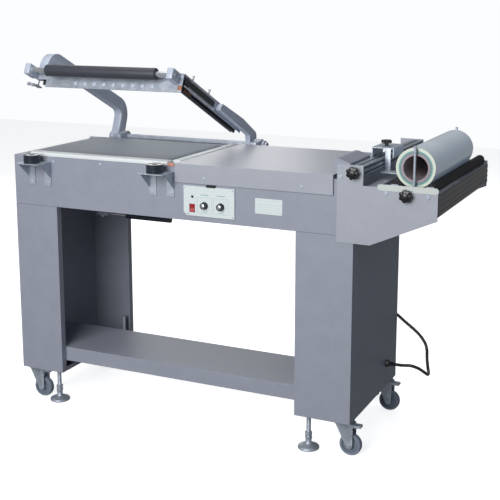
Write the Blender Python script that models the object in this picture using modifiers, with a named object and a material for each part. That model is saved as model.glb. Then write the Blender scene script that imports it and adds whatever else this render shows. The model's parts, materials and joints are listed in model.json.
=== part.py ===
"""L-bar sealer with a film stand: a floor-standing machine that seals and cuts shrink film.

Metres, +Z up. X runs from the conveyor end to the film end, and Y from the operator's side to the
rear. The dimensions are measured from the front left corner of the steel body and from the floor. The
last step moves the whole machine, so that the origin is on the floor under its middle.
"""

import math

import bmesh
import bpy
import numpy as np
from mathutils import Vector

# ---------------------------------------------------------------- driving dimensions
GAP = 0.0003
SHEET = 0.003
ORIGIN_X = 0.7735
ORIGIN_Y = 0.2910

BODY_LENGTH = 1.284
BODY_DEPTH = 0.494
BODY_BOTTOM = 0.742
BODY_TOP = 0.920
LEG_BOTTOM = 0.123
LEFT_LEG_WIDTH = 0.176
RIGHT_LEG_WIDTH = 0.193
LEG_FLANGE = 0.025
LEG_SILL = 0.015

SHELF_TOP = 0.216
SHELF_LIP = 0.052
SHELF_FRONT = 0.026
SHELF_REAR = 0.285

BELT_TOP = 0.9305
BELT_THICK = 0.002
BELT_FRONT = 0.050
BELT_REAR = 0.460
ROLLER_LEFT = 0.061
ROLLER_RIGHT = 0.582
CONVEYOR_RADIUS = 0.029
BED_MARGIN = 0.005

PAD_TOP = 0.934
FRONT_PAD = (0.070, 0.627)
PAD_DEPTH = 0.042
SIDE_PAD = (0.6250, 0.6555)

TRAY_LEFT = 0.6585
TRAY_RIGHT = 1.217
TRAY_FRONT = -0.006
TRAY_REAR = 0.497
TRAY_TOP = 0.933
TRAY_LIP = 0.064
TRAY_SHEET = 0.002

PANEL = (0.691, 0.878, 0.761, 0.861)
PANEL_THICK = 0.005
PANEL_CHAMFER = 0.012
SWITCH = (0.7227, 0.7868)
SWITCH_SIZE = (0.020, 0.027)
KNOBS = {"time_knob": (0.7691, 0.7985), "temperature_knob": (0.8290, 0.7990)}
KNOB_RADIUS = 0.0115
KNOB_LENGTH = 0.016

MAGNETS = {"left": 0.111, "right": 0.606}
MAGNET_Y = -0.045
MAGNET_RADIUS = 0.029
MAGNET_TOP = 0.932
BRACKET_TOP = 0.9030
BRACKET_DEPTH = 0.080
BRACKET_WIDTH = 0.096
BRACKET_FOOT = 0.817
TAB_WIDTH = 0.028

PIVOT_Y = 0.560
PIVOT_Z = 0.923
OPEN_ANGLE = math.radians(25.3)
SHAFT_RADIUS = 0.0125
SHAFT_ENDS = (0.050, 0.742)

BAR_LEFT = 0.072
BAR_RIGHT = 0.6575
BAR_FRONT = -0.008
BAR_BACK = 0.045
BAR_TOP = 0.981
BAR_SKIRT = 0.918
BAR_BACK_FOOT = 0.945
SIDE_BAR = (0.620, 0.660)
SIDE_BAR_BACK = 0.475
SIDE_BAR_TOP = 0.985
SIDE_BAR_FOOT = 0.940
BLADE_FOOT = 0.9357
BLADE_TOP = 0.966
BLADE_WIDTH = 0.008
BLADE_Y = 0.022
BLADE_X = 0.640

HANDLE_Y = -0.045
HANDLE_Z = 0.966
ROD_RADIUS = 0.0095
GRIP_RADIUS = 0.0205
GRIP_ENDS = (0.133, 0.574)
BLOCKS = {"left": (0.049, 0.0715), "right": (0.6205, 0.6445)}
BLOCK_FRONT = -0.062
BLOCK_FOOT = 0.946

NECK_X = 0.080
NECK_WIDTH = 0.046
NECK_THICK = 0.034
NECK_TOP = 1.043
RIGHT_ARM_THICK = 0.020

BEARINGS = {"left": (0.100, 0.130), "right": (0.690, 0.720)}
BEARING_RADIUS = 0.024

SPRING_Y = 0.250
SPRING_Z = 0.675
SPRING_ENDS = (0.310, 0.497)
SPRING_RADIUS = 0.0105
SPRING_ROD_END = 0.186
SPRING_ROD_RADIUS = 0.005

STAND_LEFT = 1.229
STAND_STEP = 1.3135
STAND_RIGHT = 1.547
STAND_TALL = 0.968
STAND_LOW = 0.906
STAND_REAR = 0.662
STAND_BOTTOM = 0.722
STAND_FOOT_RIGHT = 1.338
STAND_EDGE_BOTTOM = 0.815
END_PANEL = (0.826, 0.897)

FILM_X = 1.467
FILM_RADIUS = 0.062
CORE_RADIUS = 0.038
FILM_ENDS = (0.030, 0.510)
ROLLER_RADIUS = 0.0165
ROLLER_SPREAD = 0.0545
ROLLER_Z = 0.909
AXLE_RADIUS = 0.004
STOP_RAIL_Z = 0.878
STOP_RAIL_RADIUS = 0.005
STOP_TOP = 1.036

RAIL = (1.2725, 1.3125, 0.935, 0.965)
HOOD = (1.2185, 1.2700, 0.190, 0.985)
PERFORATOR_X = (1.2715, 1.345)
PERFORATOR_Y = (0.200, 0.310)
PERFORATOR_TOP = 0.997

WHEEL_RADIUS = 0.0375
WHEEL_WIDTH = 0.024
WHEEL_LIFT = 0.002
CASTER_OFFSET = 0.028
CASTER_X = {"left": 0.031, "right": 1.246}
CASTER_Y = {"front": 0.045, "rear": 0.462}
FEET = {
    "front_left": (0.132, 0.039),
    "front_right": (1.128, 0.039),
    "rear_left": (0.155, 0.457),
    "rear_right": (1.112, 0.457),
}
FOOT_RADIUS = 0.036
FOOT_ROD = 0.008
FOOT_ROD_TOP = 0.208

CORD_RADIUS = 0.0055
COIL_X, COIL_Y = 1.090, 0.585
COIL_MEAN_RADIUS = 0.0600
COIL_HALF_WIDTH = 0.0165
COIL_HEIGHT = 0.022
GLAND_Y, GLAND_Z = 0.375, 0.209

ALONG_Y = (math.pi / 2, 0, 0)
ALONG_X = (0, math.pi / 2, 0)
IN_YZ = (math.pi / 2, 0, math.pi / 2)

# ---------------------------------------------------------------- scene
for old in list(bpy.data.objects):
    bpy.data.objects.remove(old)

parts = bpy.data.collections.new("l_bar_sealer")
helpers = bpy.data.collections.new("cutters")
bpy.context.scene.collection.children.link(parts)
bpy.context.scene.collection.children.link(helpers)

FINISHES = {
    "powder_coat": ((0.32, 0.33, 0.38), 0.55, 0.0),
    "tray_steel": ((0.46, 0.49, 0.55), 0.35, 0.6),
    "zinc": ((0.62, 0.67, 0.72), 0.35, 0.9),
    "chrome": ((0.75, 0.77, 0.80), 0.12, 1.0),
    "aluminium": ((0.60, 0.62, 0.65), 0.40, 1.0),
    "belt": ((0.21, 0.23, 0.26), 0.75, 0.0),
    "pad": ((0.82, 0.86, 0.87), 0.60, 0.0),
    "black_plastic": ((0.03, 0.03, 0.04), 0.45, 0.0),
    "black_rubber": ((0.02, 0.02, 0.02), 0.80, 0.0),
    "foam": ((0.04, 0.04, 0.05), 0.90, 0.0),
    "panel": ((0.74, 0.80, 0.80), 0.45, 0.0),
    "red_switch": ((0.55, 0.04, 0.05), 0.35, 0.0),
    "film": ((0.66, 0.74, 0.78), 0.20, 0.0),
    "wheel": ((0.25, 0.29, 0.34), 0.60, 0.0),
}


def finish(obj, kind):
    """Gives an object a material of its own, with the colour, roughness and metallic value of its finish."""
    colour, roughness, metallic = FINISHES[kind]
    material = bpy.data.materials.new(obj.name)
    material.use_nodes = True
    shader = material.node_tree.nodes["Principled BSDF"]
    shader.inputs["Base Color"].default_value = (*colour, 1)
    shader.inputs["Roughness"].default_value = roughness
    shader.inputs["Metallic"].default_value = metallic
    obj.data.materials.clear()
    obj.data.materials.append(material)
    return obj


def place(name, mesh, location=(0, 0, 0), rotation=(0, 0, 0), kind=None):
    """Puts a mesh in the scene: as a part when it has a finish, and otherwise as a cutter or a pad to join."""
    obj = bpy.data.objects.new(name, mesh)
    obj.location = location
    obj.rotation_euler = rotation
    if kind:
        parts.objects.link(obj)
        finish(obj, kind)
    else:
        helpers.objects.link(obj)
        obj.hide_render = True
        obj.display_type = "WIRE"
    return obj


def box(name, x, y, z, kind=None):
    """A box between the two values of each axis."""
    bm = bmesh.new()
    bmesh.ops.create_cube(bm, size=1)
    size = (x[1] - x[0], y[1] - y[0], z[1] - z[0])
    bmesh.ops.scale(bm, vec=size, verts=bm.verts)
    mesh = bpy.data.meshes.new(name)
    bm.to_mesh(mesh)
    bm.free()
    return place(name, mesh, [sum(pair) / 2 for pair in (x, y, z)], kind=kind)


def cylinder(name, radius, length, location, rotation=(0, 0, 0), kind=None, sides=24, top_radius=None):
    """A cylinder or cone of the given length, centred on its location, along Z before it is turned."""
    bm = bmesh.new()
    end = radius if top_radius is None else top_radius
    bmesh.ops.create_cone(bm, cap_ends=True, segments=sides, radius1=radius, radius2=end, depth=length)
    mesh = bpy.data.meshes.new(name)
    bm.to_mesh(mesh)
    bm.free()
    smooth(mesh)
    return place(name, mesh, location, rotation, kind)


def smooth(mesh):
    mesh.shade_smooth()
    mesh.set_sharp_from_angle(angle=math.radians(35))


def turned(name, profile, location, rotation=(0, 0, 0), kind=None, steps=32):
    """A solid turned about Z from a closed profile of (radius, height) points, listed down its outer side."""
    mesh = bpy.data.meshes.new(name)
    points = [(radius, 0, height) for radius, height in profile]
    ends = range(len(points))
    edges = [(i, i + 1) for i in ends[:-1]]
    if profile[0][0] > 0:
        edges.append((len(points) - 1, 0))
    mesh.from_pydata(points, edges, [])
    obj = place(name, mesh, location, rotation, kind)
    screw = obj.modifiers.new("turn", "SCREW")
    screw.steps = steps
    screw.render_steps = steps
    screw.use_merge_vertices = True
    screw.merge_threshold = 0.00001
    screw.use_smooth_shade = True
    return obj


def as_mesh(curve_object, kind=None):
    """Replaces a curve object by a closed mesh object of the same name and place."""
    bpy.context.view_layer.update()
    graph = bpy.context.evaluated_depsgraph_get()
    mesh = bpy.data.meshes.new_from_object(curve_object.evaluated_get(graph))
    bm = bmesh.new()
    bm.from_mesh(mesh)
    bmesh.ops.remove_doubles(bm, verts=bm.verts, dist=0.00001)
    bmesh.ops.recalc_face_normals(bm, faces=bm.faces)
    bm.to_mesh(mesh)
    bm.free()
    name = curve_object.name
    matrix = curve_object.matrix_world.copy()
    bpy.data.objects.remove(curve_object)
    obj = place(name, mesh, kind=kind)
    obj.matrix_world = matrix
    return obj


def outline(name, loops, thickness, location=(0, 0, 0), rotation=(0, 0, 0), kind=None):
    """A flat plate: closed loops of points, the first one outside and the others its holes, made thick."""
    curve = bpy.data.curves.new(name, "CURVE")
    curve.dimensions = "2D"
    curve.fill_mode = "BOTH"
    curve.extrude = thickness / 2
    for loop in loops:
        spline = curve.splines.new("POLY")
        spline.points.add(len(loop) - 1)
        for point, (x, y) in zip(spline.points, loop):
            point.co = (x, y, 0, 1)
        spline.use_cyclic_u = True
    obj = bpy.data.objects.new(name, curve)
    obj.location = location
    obj.rotation_euler = rotation
    helpers.objects.link(obj)
    return as_mesh(obj, kind)


def tube(name, points, radius, kind, sides=2):
    """A round bar or cable along a list of points."""
    curve = bpy.data.curves.new(name, "CURVE")
    curve.dimensions = "3D"
    curve.bevel_depth = radius
    curve.bevel_resolution = sides
    curve.use_fill_caps = True
    spline = curve.splines.new("POLY")
    spline.points.add(len(points) - 1)
    for point, place_at in zip(spline.points, points):
        point.co = (*place_at, 1)
    obj = bpy.data.objects.new(name, curve)
    parts.objects.link(obj)
    return finish(obj, kind)


def boolean(obj, other, operation):
    modifier = obj.modifiers.new(other.name, "BOOLEAN")
    modifier.operation = operation
    modifier.object = other
    return obj


def cut(obj, *others):
    for other in others:
        boolean(obj, other, "DIFFERENCE")
    return obj


def join(obj, *others):
    for other in others:
        boolean(obj, other, "UNION")
    return obj


def soften(obj, width, segments=2):
    """Rounds the sharp edges of a plain block or plate."""
    bevel = obj.modifiers.new("round", "BEVEL")
    bevel.width = width
    bevel.segments = segments
    bevel.limit_method = "ANGLE"
    bevel.angle_limit = math.radians(50)
    return obj


def arc(centre, radius, start, end, count):
    """Points on a circle from one angle to the other, in degrees."""
    turns = np.radians(np.linspace(start, end, count))
    return [(centre[0] + radius * math.cos(t), centre[1] + radius * math.sin(t)) for t in turns]


def band(line, width):
    """The outline of a strip of even width along a line of points."""
    line = np.array(line)
    run = np.gradient(line, axis=0)
    run /= np.linalg.norm(run, axis=1)[:, None]
    side = np.column_stack([-run[:, 1], run[:, 0]]) * width / 2
    return [tuple(p) for p in np.vstack([line + side, (line - side)[::-1]])]


# ---------------------------------------------------------------- body, legs and shelf
def make_body():
    """The folded steel body: open below, with a bed opening for the conveyor and a low rear ledge."""
    body = box("main_body", (0, BODY_LENGTH), (0, BODY_DEPTH), (BODY_BOTTOM, BODY_TOP), "powder_coat")
    inside = box(
        "body_inside",
        (SHEET, BODY_LENGTH - SHEET),
        (SHEET, BODY_DEPTH - SHEET),
        (BODY_BOTTOM - 0.01, BODY_TOP - SHEET),
    )
    bed = box(
        "body_bed",
        (ROLLER_LEFT - CONVEYOR_RADIUS - BED_MARGIN - 0.002, ROLLER_RIGHT + CONVEYOR_RADIUS + BED_MARGIN),
        (BELT_FRONT - BED_MARGIN, BELT_REAR + BED_MARGIN),
        (BODY_TOP - 0.02, BODY_TOP + 0.02),
    )
    ledge = box("body_ledge", (0, 0.618), (0.478, BODY_DEPTH), (BODY_TOP - SHEET, BODY_TOP + 0.006))
    join(body, ledge)
    cut(body, inside, bed)


def make_leg(name, x, open_side):
    """A leg folded from sheet: front, outer and rear walls, a bottom, and narrow flanges at its open side."""
    leg = box(name, x, (0, BODY_DEPTH), (LEG_BOTTOM, BODY_BOTTOM - GAP), "powder_coat")
    inside = box(
        name + "_inside",
        (x[0] + SHEET, x[1] - SHEET),
        (SHEET, BODY_DEPTH - SHEET),
        (LEG_BOTTOM + SHEET, BODY_BOTTOM + 0.01),
    )
    door = box(
        name + "_door",
        (open_side - 0.01, open_side + 0.01),
        (LEG_FLANGE, BODY_DEPTH - LEG_FLANGE),
        (LEG_BOTTOM + LEG_SILL, BODY_BOTTOM + 0.01),
    )
    cut(leg, inside, door)
    for corner, (foot_x, foot_y) in FEET.items():
        if x[0] < foot_x < x[1]:
            hole = cylinder(f"{corner}_hole", FOOT_ROD + 0.0006, 0.02, (foot_x, foot_y, LEG_BOTTOM))
            cut(leg, hole)


def make_shelf():
    """A tray turned upside down, between the outer walls of the two legs."""
    x = (SHEET + GAP, BODY_LENGTH - SHEET - GAP)
    shelf = box("lower_shelf", x, (SHELF_FRONT, SHELF_REAR), (SHELF_TOP - SHELF_LIP, SHELF_TOP), "powder_coat")
    under = box(
        "shelf_under",
        (x[0] - 0.01, x[1] + 0.01),
        (SHELF_FRONT + SHEET, SHELF_REAR - SHEET),
        (SHELF_TOP - SHELF_LIP - 0.01, SHELF_TOP - SHEET),
    )
    cut(shelf, under)


# ---------------------------------------------------------------- conveyor and seal pads
def make_conveyor():
    """An endless belt round two rollers, whose axles end at the body's walls."""
    centre_z = BELT_TOP - BELT_THICK - CONVEYOR_RADIUS
    loops = []
    for radius in (CONVEYOR_RADIUS + BELT_THICK, CONVEYOR_RADIUS):
        right = arc((ROLLER_RIGHT, centre_z), radius, -90, 90, 13)
        left = arc((ROLLER_LEFT, centre_z), radius, 90, 270, 13)
        loops.append(right + left)
    middle = (BELT_FRONT + BELT_REAR) / 2
    outline("conveyor_belt", loops, BELT_REAR - BELT_FRONT, (0, middle, 0), ALONG_Y, "belt")
    half = (BELT_REAR - BELT_FRONT) / 2 - 0.003
    axle = BODY_DEPTH / 2 - SHEET - 0.0006
    shift = BODY_DEPTH / 2 - middle
    radius = CONVEYOR_RADIUS - GAP
    profile = [
        (0, axle - shift), (0.007, axle - shift), (0.007, half), (radius, half),
        (radius, -half), (0.007, -half), (0.007, -axle - shift), (0, -axle - shift),
    ]
    for name, x in (("drive_roller", ROLLER_RIGHT), ("idler_roller", ROLLER_LEFT)):
        turned(name, profile, (x, middle, centre_z), ALONG_Y, "aluminium", 28)


def make_pads():
    """The two silicone pads that the hot blade closes on."""
    z = (BODY_TOP + GAP, PAD_TOP)
    soften(box("front_seal_pad", FRONT_PAD, (0.0005, PAD_DEPTH), z, "pad"), 0.002)
    soften(box("side_seal_pad", SIDE_PAD, (PAD_DEPTH + GAP, 0.4775), z, "pad"), 0.002)


def make_tray():
    """The film tray: a folded sheet over the right half of the body, with a deep front lip."""
    z = (TRAY_TOP - TRAY_LIP, TRAY_TOP)
    tray = box("film_tray", (TRAY_LEFT, TRAY_RIGHT), (TRAY_FRONT, TRAY_REAR), z, "tray_steel")
    under = box(
        "tray_under",
        (TRAY_LEFT + TRAY_SHEET, TRAY_RIGHT - TRAY_SHEET),
        (TRAY_FRONT + TRAY_SHEET, TRAY_REAR - TRAY_SHEET),
        (z[0] - 0.01, TRAY_TOP - TRAY_SHEET),
    )
    behind = box(
        "tray_behind_lip",
        (TRAY_LEFT - 0.01, TRAY_RIGHT + 0.01),
        (TRAY_FRONT + TRAY_SHEET, TRAY_REAR + 0.01),
        (z[0] - 0.01, BODY_TOP + GAP),
    )
    cut(tray, under, behind)


# ---------------------------------------------------------------- controls
def make_panel():
    """The control plate, with one corner cut, and its switch and two knobs."""
    x0, x1, z0, z1 = PANEL
    cut_corner = PANEL_CHAMFER
    loop = [(x0 + cut_corner, z0), (x1, z0), (x1, z1), (x0, z1), (x0, z0 + cut_corner)]
    window = box(
        "switch_window",
        (SWITCH[0] - SWITCH_SIZE[0] / 2 - 0.0006, SWITCH[0] + SWITCH_SIZE[0] / 2 + 0.0006),
        (-0.02, 0.02),
        (SWITCH[1] - SWITCH_SIZE[1] / 2 - 0.0006, SWITCH[1] + SWITCH_SIZE[1] / 2 + 0.0006),
    )
    middle = -GAP - PANEL_THICK / 2
    panel = outline("control_panel", [loop], PANEL_THICK, (0, middle, 0), ALONG_Y, "panel")
    cut(panel, window)
    half_width = SWITCH_SIZE[0] / 2
    half_height = SWITCH_SIZE[1] / 2
    rocker = [(-0.0012, -half_height), (0.0048, -half_height), (0.0010, 0), (0.0030, half_height)]
    rocker.append((-0.0012, half_height))
    loop = [(-depth, height) for depth, height in rocker]
    location = (SWITCH[0], -GAP - 0.0030, SWITCH[1])
    outline("power_switch", [loop], 2 * half_width, location, IN_YZ, "red_switch")
    for name, (x, z) in KNOBS.items():
        profile = [
            (0, KNOB_LENGTH), (KNOB_RADIUS - 0.0025, KNOB_LENGTH), (KNOB_RADIUS - 0.001, KNOB_LENGTH - 0.001),
            (KNOB_RADIUS, 0.003), (KNOB_RADIUS + 0.001, 0), (0, 0),
        ]
        turned(name, profile, (x, -PANEL_THICK - 2 * GAP, z), ALONG_Y, "black_plastic", 24)


# ---------------------------------------------------------------- holding magnets
def make_magnet(side, x):
    """A pot magnet on a folded bracket: a shelf, two tabs on the body's face and a gusset to each tab."""
    half = BRACKET_WIDTH / 2
    name = side + "_magnet_bracket"
    folded = [
        (-GAP, BRACKET_FOOT), (-GAP, BRACKET_TOP), (-BRACKET_DEPTH, BRACKET_TOP),
        (-BRACKET_DEPTH, BRACKET_TOP - SHEET), (-GAP - SHEET, BRACKET_TOP - SHEET), (-GAP - SHEET, BRACKET_FOOT),
    ]
    bracket = outline(name, [folded], BRACKET_WIDTH, (x, 0, 0), IN_YZ, "zinc")
    between = box(
        name + "_between",
        (x - half + TAB_WIDTH, x + half - TAB_WIDTH),
        (-0.02, 0.01),
        (BRACKET_FOOT - 0.01, BRACKET_TOP - SHEET - 0.002),
    )
    cut(bracket, between)
    for number, web_x in enumerate((x - half + SHEET / 2 + 0.0002, x + half - SHEET / 2 - 0.0002)):
        web = [(-0.0015, BRACKET_TOP - 0.0015), (-0.0660, BRACKET_TOP - 0.0015), (-0.0015, BRACKET_TOP - 0.0600)]
        gusset = outline(f"{name}_web_{number}", [web], SHEET, (web_x, 0, 0), IN_YZ)
        join(bracket, gusset)
    height = MAGNET_TOP - BRACKET_TOP - GAP
    profile = [
        (0, height - 0.003), (MAGNET_RADIUS - 0.006, height - 0.003), (MAGNET_RADIUS - 0.005, height),
        (MAGNET_RADIUS - 0.001, height), (MAGNET_RADIUS, height - 0.001), (MAGNET_RADIUS, 0), (0, 0),
    ]
    turned(side + "_magnet", profile, (x, MAGNET_Y, BRACKET_TOP + GAP), kind="black_rubber")


# ---------------------------------------------------------------- sealing arm
def neck_line():
    """The side view of the left support arm, closed: up from the pivot, forward, and down on the front bar."""
    rise = [(PIVOT_Y, PIVOT_Z), (PIVOT_Y - 0.002, 0.960)]
    bend_radius = 0.050
    rear = arc((PIVOT_Y - 0.005 - bend_radius, NECK_TOP - bend_radius), bend_radius, 0, 90, 9)
    front_radius = 0.040
    front = arc((BLADE_Y + front_radius, NECK_TOP - front_radius), front_radius, 90, 180, 9)
    return rise + rear + front + [(BLADE_Y, BAR_TOP + GAP)]


def make_arm():
    """The L-shaped sealing arm, modelled closed and parented to its hinge, which holds it open."""
    before = set(bpy.data.objects)
    make_bars()
    make_handle()
    make_supports()
    arm = sorted(set(bpy.data.objects) - before, key=lambda obj: obj.name)
    hinge = bpy.data.objects.new("arm_hinge", None)
    hinge.location = (0, PIVOT_Y, PIVOT_Z)
    parts.objects.link(hinge)
    for piece in arm:
        piece.location -= hinge.location
        piece.parent = hinge
    hinge.rotation_euler = (-OPEN_ANGLE, 0, 0)


def make_bars():
    """Two channels open below, at right angles, and the L-shaped blade that they carry."""
    front = box("front_bar", (BAR_LEFT, BAR_RIGHT), (BAR_FRONT, BAR_BACK), (BAR_SKIRT, BAR_TOP), "zinc")
    hollow = box(
        "front_bar_hollow",
        (BAR_LEFT - 0.01, BAR_RIGHT + 0.01),
        (BAR_FRONT + SHEET, BAR_BACK - SHEET),
        (BAR_SKIRT - 0.01, BAR_TOP - SHEET),
    )
    heel = box(
        "front_bar_heel",
        (BAR_LEFT - 0.01, BAR_RIGHT + 0.01),
        (BAR_BACK - SHEET - 0.001, BAR_BACK + 0.01),
        (BAR_SKIRT - 0.01, BAR_BACK_FOOT),
    )
    toe = box(
        "front_bar_toe",
        (BAR_LEFT - 0.01, 0.112),
        (BAR_FRONT - 0.01, BAR_FRONT + SHEET + 0.001),
        (BAR_SKIRT - 0.01, BAR_BACK_FOOT),
    )
    notch = box(
        "front_bar_notch",
        (BLADE_X - 0.012, BLADE_X + 0.012),
        (BAR_BACK - 0.01, BAR_BACK + 0.01),
        (BAR_SKIRT - 0.01, BLADE_TOP + 0.002),
    )
    cut(front, hollow, heel, toe, notch)

    side = box("side_bar", SIDE_BAR, (BAR_BACK + GAP, SIDE_BAR_BACK), (SIDE_BAR_FOOT, SIDE_BAR_TOP), "zinc")
    strip = box("side_bar_strip", SIDE_BAR, (BAR_FRONT, BAR_BACK + 0.01), (BAR_TOP + GAP, SIDE_BAR_TOP))
    hollow = box(
        "side_bar_hollow",
        (SIDE_BAR[0] + SHEET, SIDE_BAR[1] - SHEET),
        (BAR_FRONT - 0.01, SIDE_BAR_BACK + 0.01),
        (SIDE_BAR_FOOT - 0.01, BAR_TOP - SHEET),
    )
    cut(join(side, strip), hollow)

    half = BLADE_WIDTH / 2
    end_x = BAR_LEFT + 0.008
    end_y = SIDE_BAR_BACK - 0.012
    corner = [
        (end_x, BLADE_Y - half), (BLADE_X + half, BLADE_Y - half), (BLADE_X + half, end_y),
        (BLADE_X - half, end_y), (BLADE_X - half, BLADE_Y + half), (end_x, BLADE_Y + half),
    ]
    height = BLADE_TOP - BLADE_FOOT
    outline("seal_blade", [corner], height, (0, 0, BLADE_FOOT + height / 2), kind="black_plastic")


def make_handle():
    """The rod between two end blocks, with a foam grip round it."""
    ends = (BLOCKS["left"][1] + GAP, BLOCKS["right"][0] - GAP)
    middle = sum(ends) / 2
    cylinder(
        "handle_rod", ROD_RADIUS, ends[1] - ends[0], (middle, HANDLE_Y, HANDLE_Z), ALONG_X, "chrome"
    )
    length = GRIP_ENDS[1] - GRIP_ENDS[0]
    bore = ROD_RADIUS + GAP
    profile = [
        (bore, length), (GRIP_RADIUS - 0.003, length), (GRIP_RADIUS, length - 0.003),
        (GRIP_RADIUS, 0.003), (GRIP_RADIUS - 0.003, 0), (bore, 0),
    ]
    turned("handle_grip", profile, (GRIP_ENDS[0], HANDLE_Y, HANDLE_Z), ALONG_X, "foam", 24)
    blocks = []
    for side, x in BLOCKS.items():
        block = box(f"{side}_end_block", x, (BLOCK_FRONT, BAR_FRONT - GAP), (BLOCK_FOOT, SIDE_BAR_TOP), "zinc")
        blocks.append(soften(block, 0.003))
    left, right = BLOCKS["left"]
    tongue = box("left_block_tongue", (left + 0.004, right - GAP), (-0.02, 0.030), (0.952, 0.976))
    join(blocks[0], tongue)


def make_supports():
    """The swan-neck support on the left, the plate support on the right, and the shaft through both."""
    bore = cylinder("neck_bore", SHAFT_RADIUS + GAP, 0.2, (NECK_X, PIVOT_Y, PIVOT_Z), ALONG_X)
    hub = cylinder("neck_hub", 0.026, NECK_THICK, (NECK_X, PIVOT_Y, PIVOT_Z), ALONG_X)
    loop = band(neck_line(), NECK_WIDTH)
    neck = outline("left_support_arm", [loop], NECK_THICK, (NECK_X, 0, 0), IN_YZ, "aluminium")
    soften(neck, 0.006)
    cut(join(neck, hub), bore)

    x = SIDE_BAR[1] + GAP + RIGHT_ARM_THICK / 2
    loop = arc((PIVOT_Y, PIVOT_Z), 0.024, -180, 0, 13)
    loop += arc((PIVOT_Y - 0.002, 0.952), 0.026, 0, 80, 7)
    loop += [(0.440, 0.986), (0.262, 0.978), (0.250, 0.962), (0.250, 0.950), (0.520, 0.948)]
    arm = outline("right_support_arm", [loop], RIGHT_ARM_THICK, (x, 0, 0), IN_YZ, "aluminium")
    bore = cylinder("right_arm_bore", SHAFT_RADIUS + GAP, 0.2, (x, PIVOT_Y, PIVOT_Z), ALONG_X)
    cut(soften(arm, 0.002, 1), bore)

    middle = sum(SHAFT_ENDS) / 2
    cylinder(
        "pivot_shaft", SHAFT_RADIUS, SHAFT_ENDS[1] - SHAFT_ENDS[0], (middle, PIVOT_Y, PIVOT_Z), ALONG_X, "zinc"
    )


def make_bearing(side, x):
    """A pillow block behind the body: a base on the rear wall, a stem and a bored housing."""
    loop = arc((PIVOT_Y, PIVOT_Z), BEARING_RADIUS, -135, 135, 19)
    base = BODY_DEPTH + GAP
    loop += [(0.503, 0.940), (0.503, 0.9185), (base, 0.9185), (base, 0.860), (0.503, 0.860)]
    middle = sum(x) / 2
    bearing = outline(side + "_bearing", [loop], x[1] - x[0], (middle, 0, 0), IN_YZ, "zinc")
    bore = cylinder(side + "_bearing_bore", SHAFT_RADIUS + GAP, 0.1, (middle, PIVOT_Y, PIVOT_Z), ALONG_X)
    cut(bearing, bore)


def make_spring():
    """The balance spring under the body: a cylinder hung from the front wall's inside, and its rod."""
    length = SPRING_ENDS[1] - SPRING_ENDS[0]
    middle = sum(SPRING_ENDS) / 2
    centre = (middle, SPRING_Y, SPRING_Z)
    case = cylinder("spring_cylinder", SPRING_RADIUS, length, centre, ALONG_X, "black_plastic")
    start = (SPRING_ENDS[0] - 0.02, SPRING_Y, SPRING_Z)
    bore = cylinder("spring_bore", SPRING_ROD_RADIUS + GAP, 0.28, start, ALONG_X)
    eye_x = SPRING_ENDS[1] - 0.006
    hanger = box("spring_hanger", (eye_x - 0.010, eye_x + 0.004), (0.242, 0.258), (SPRING_Z, 0.750))
    beam = box("spring_beam", (eye_x - 0.010, eye_x + 0.004), (0.0035, 0.4905), (0.7475, 0.7600))
    cut(join(case, hanger, beam), bore)
    rod_end = SPRING_ENDS[0] + 0.110
    rod = cylinder(
        "spring_rod",
        SPRING_ROD_RADIUS,
        rod_end - SPRING_ROD_END,
        ((rod_end + SPRING_ROD_END) / 2, SPRING_Y, SPRING_Z),
        ALONG_X,
        "chrome",
        16,
    )
    eye = cylinder("spring_eye", 0.009, 0.012, (SPRING_ROD_END, SPRING_Y, SPRING_Z), ALONG_Y, sides=16)
    join(rod, eye)


# ---------------------------------------------------------------- film stand
def stand_outline():
    """The front view of each side plate of the film stand."""
    return [
        (STAND_LEFT, STAND_BOTTOM), (STAND_FOOT_RIGHT, STAND_BOTTOM), (STAND_RIGHT, STAND_EDGE_BOTTOM),
        (STAND_RIGHT, STAND_LOW), (STAND_STEP, STAND_LOW), (STAND_STEP, STAND_TALL), (STAND_LEFT, STAND_TALL),
    ]


def make_stand():
    """One welded frame: two side plates, an end panel, a film guide strip, roller ears and the stop rail."""
    half = SHEET / 2
    front_y = -GAP - half
    rear_y = STAND_REAR - half
    stand = outline("film_stand", [stand_outline()], SHEET, (0, front_y, 0), ALONG_Y, "powder_coat")
    rear = outline("stand_rear_plate", [stand_outline()], SHEET, (0, rear_y, 0), ALONG_Y)
    span = (front_y, rear_y)
    panel = box("stand_end_panel", (STAND_RIGHT - SHEET, STAND_RIGHT - 0.0001), span, END_PANEL)
    strip = box("stand_guide", (STAND_STEP + 0.003, 1.352), span, (0.898, 0.902))
    rail = cylinder(
        "stand_stop_rail",
        STOP_RAIL_RADIUS,
        rear_y - front_y,
        (FILM_X, (front_y + rear_y) / 2, STOP_RAIL_Z),
        ALONG_Y,
        sides=16,
    )
    join(stand, rear, panel, strip, rail)
    for side in (-1, 1):
        x = FILM_X + side * ROLLER_SPREAD
        for number, y in enumerate(((-GAP - SHEET, 0.004), (STAND_REAR - 0.0075, STAND_REAR))):
            ear = box(f"stand_ear_{side}_{number}", (x - 0.011, x + 0.011), y, (0.880, 0.9180))
            join(stand, ear)
        hole = cylinder(f"stand_axle_hole_{side}", AXLE_RADIUS + GAP, 0.8, (x, 0.33, ROLLER_Z), ALONG_Y, sides=16)
        cut(stand, hole)


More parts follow.
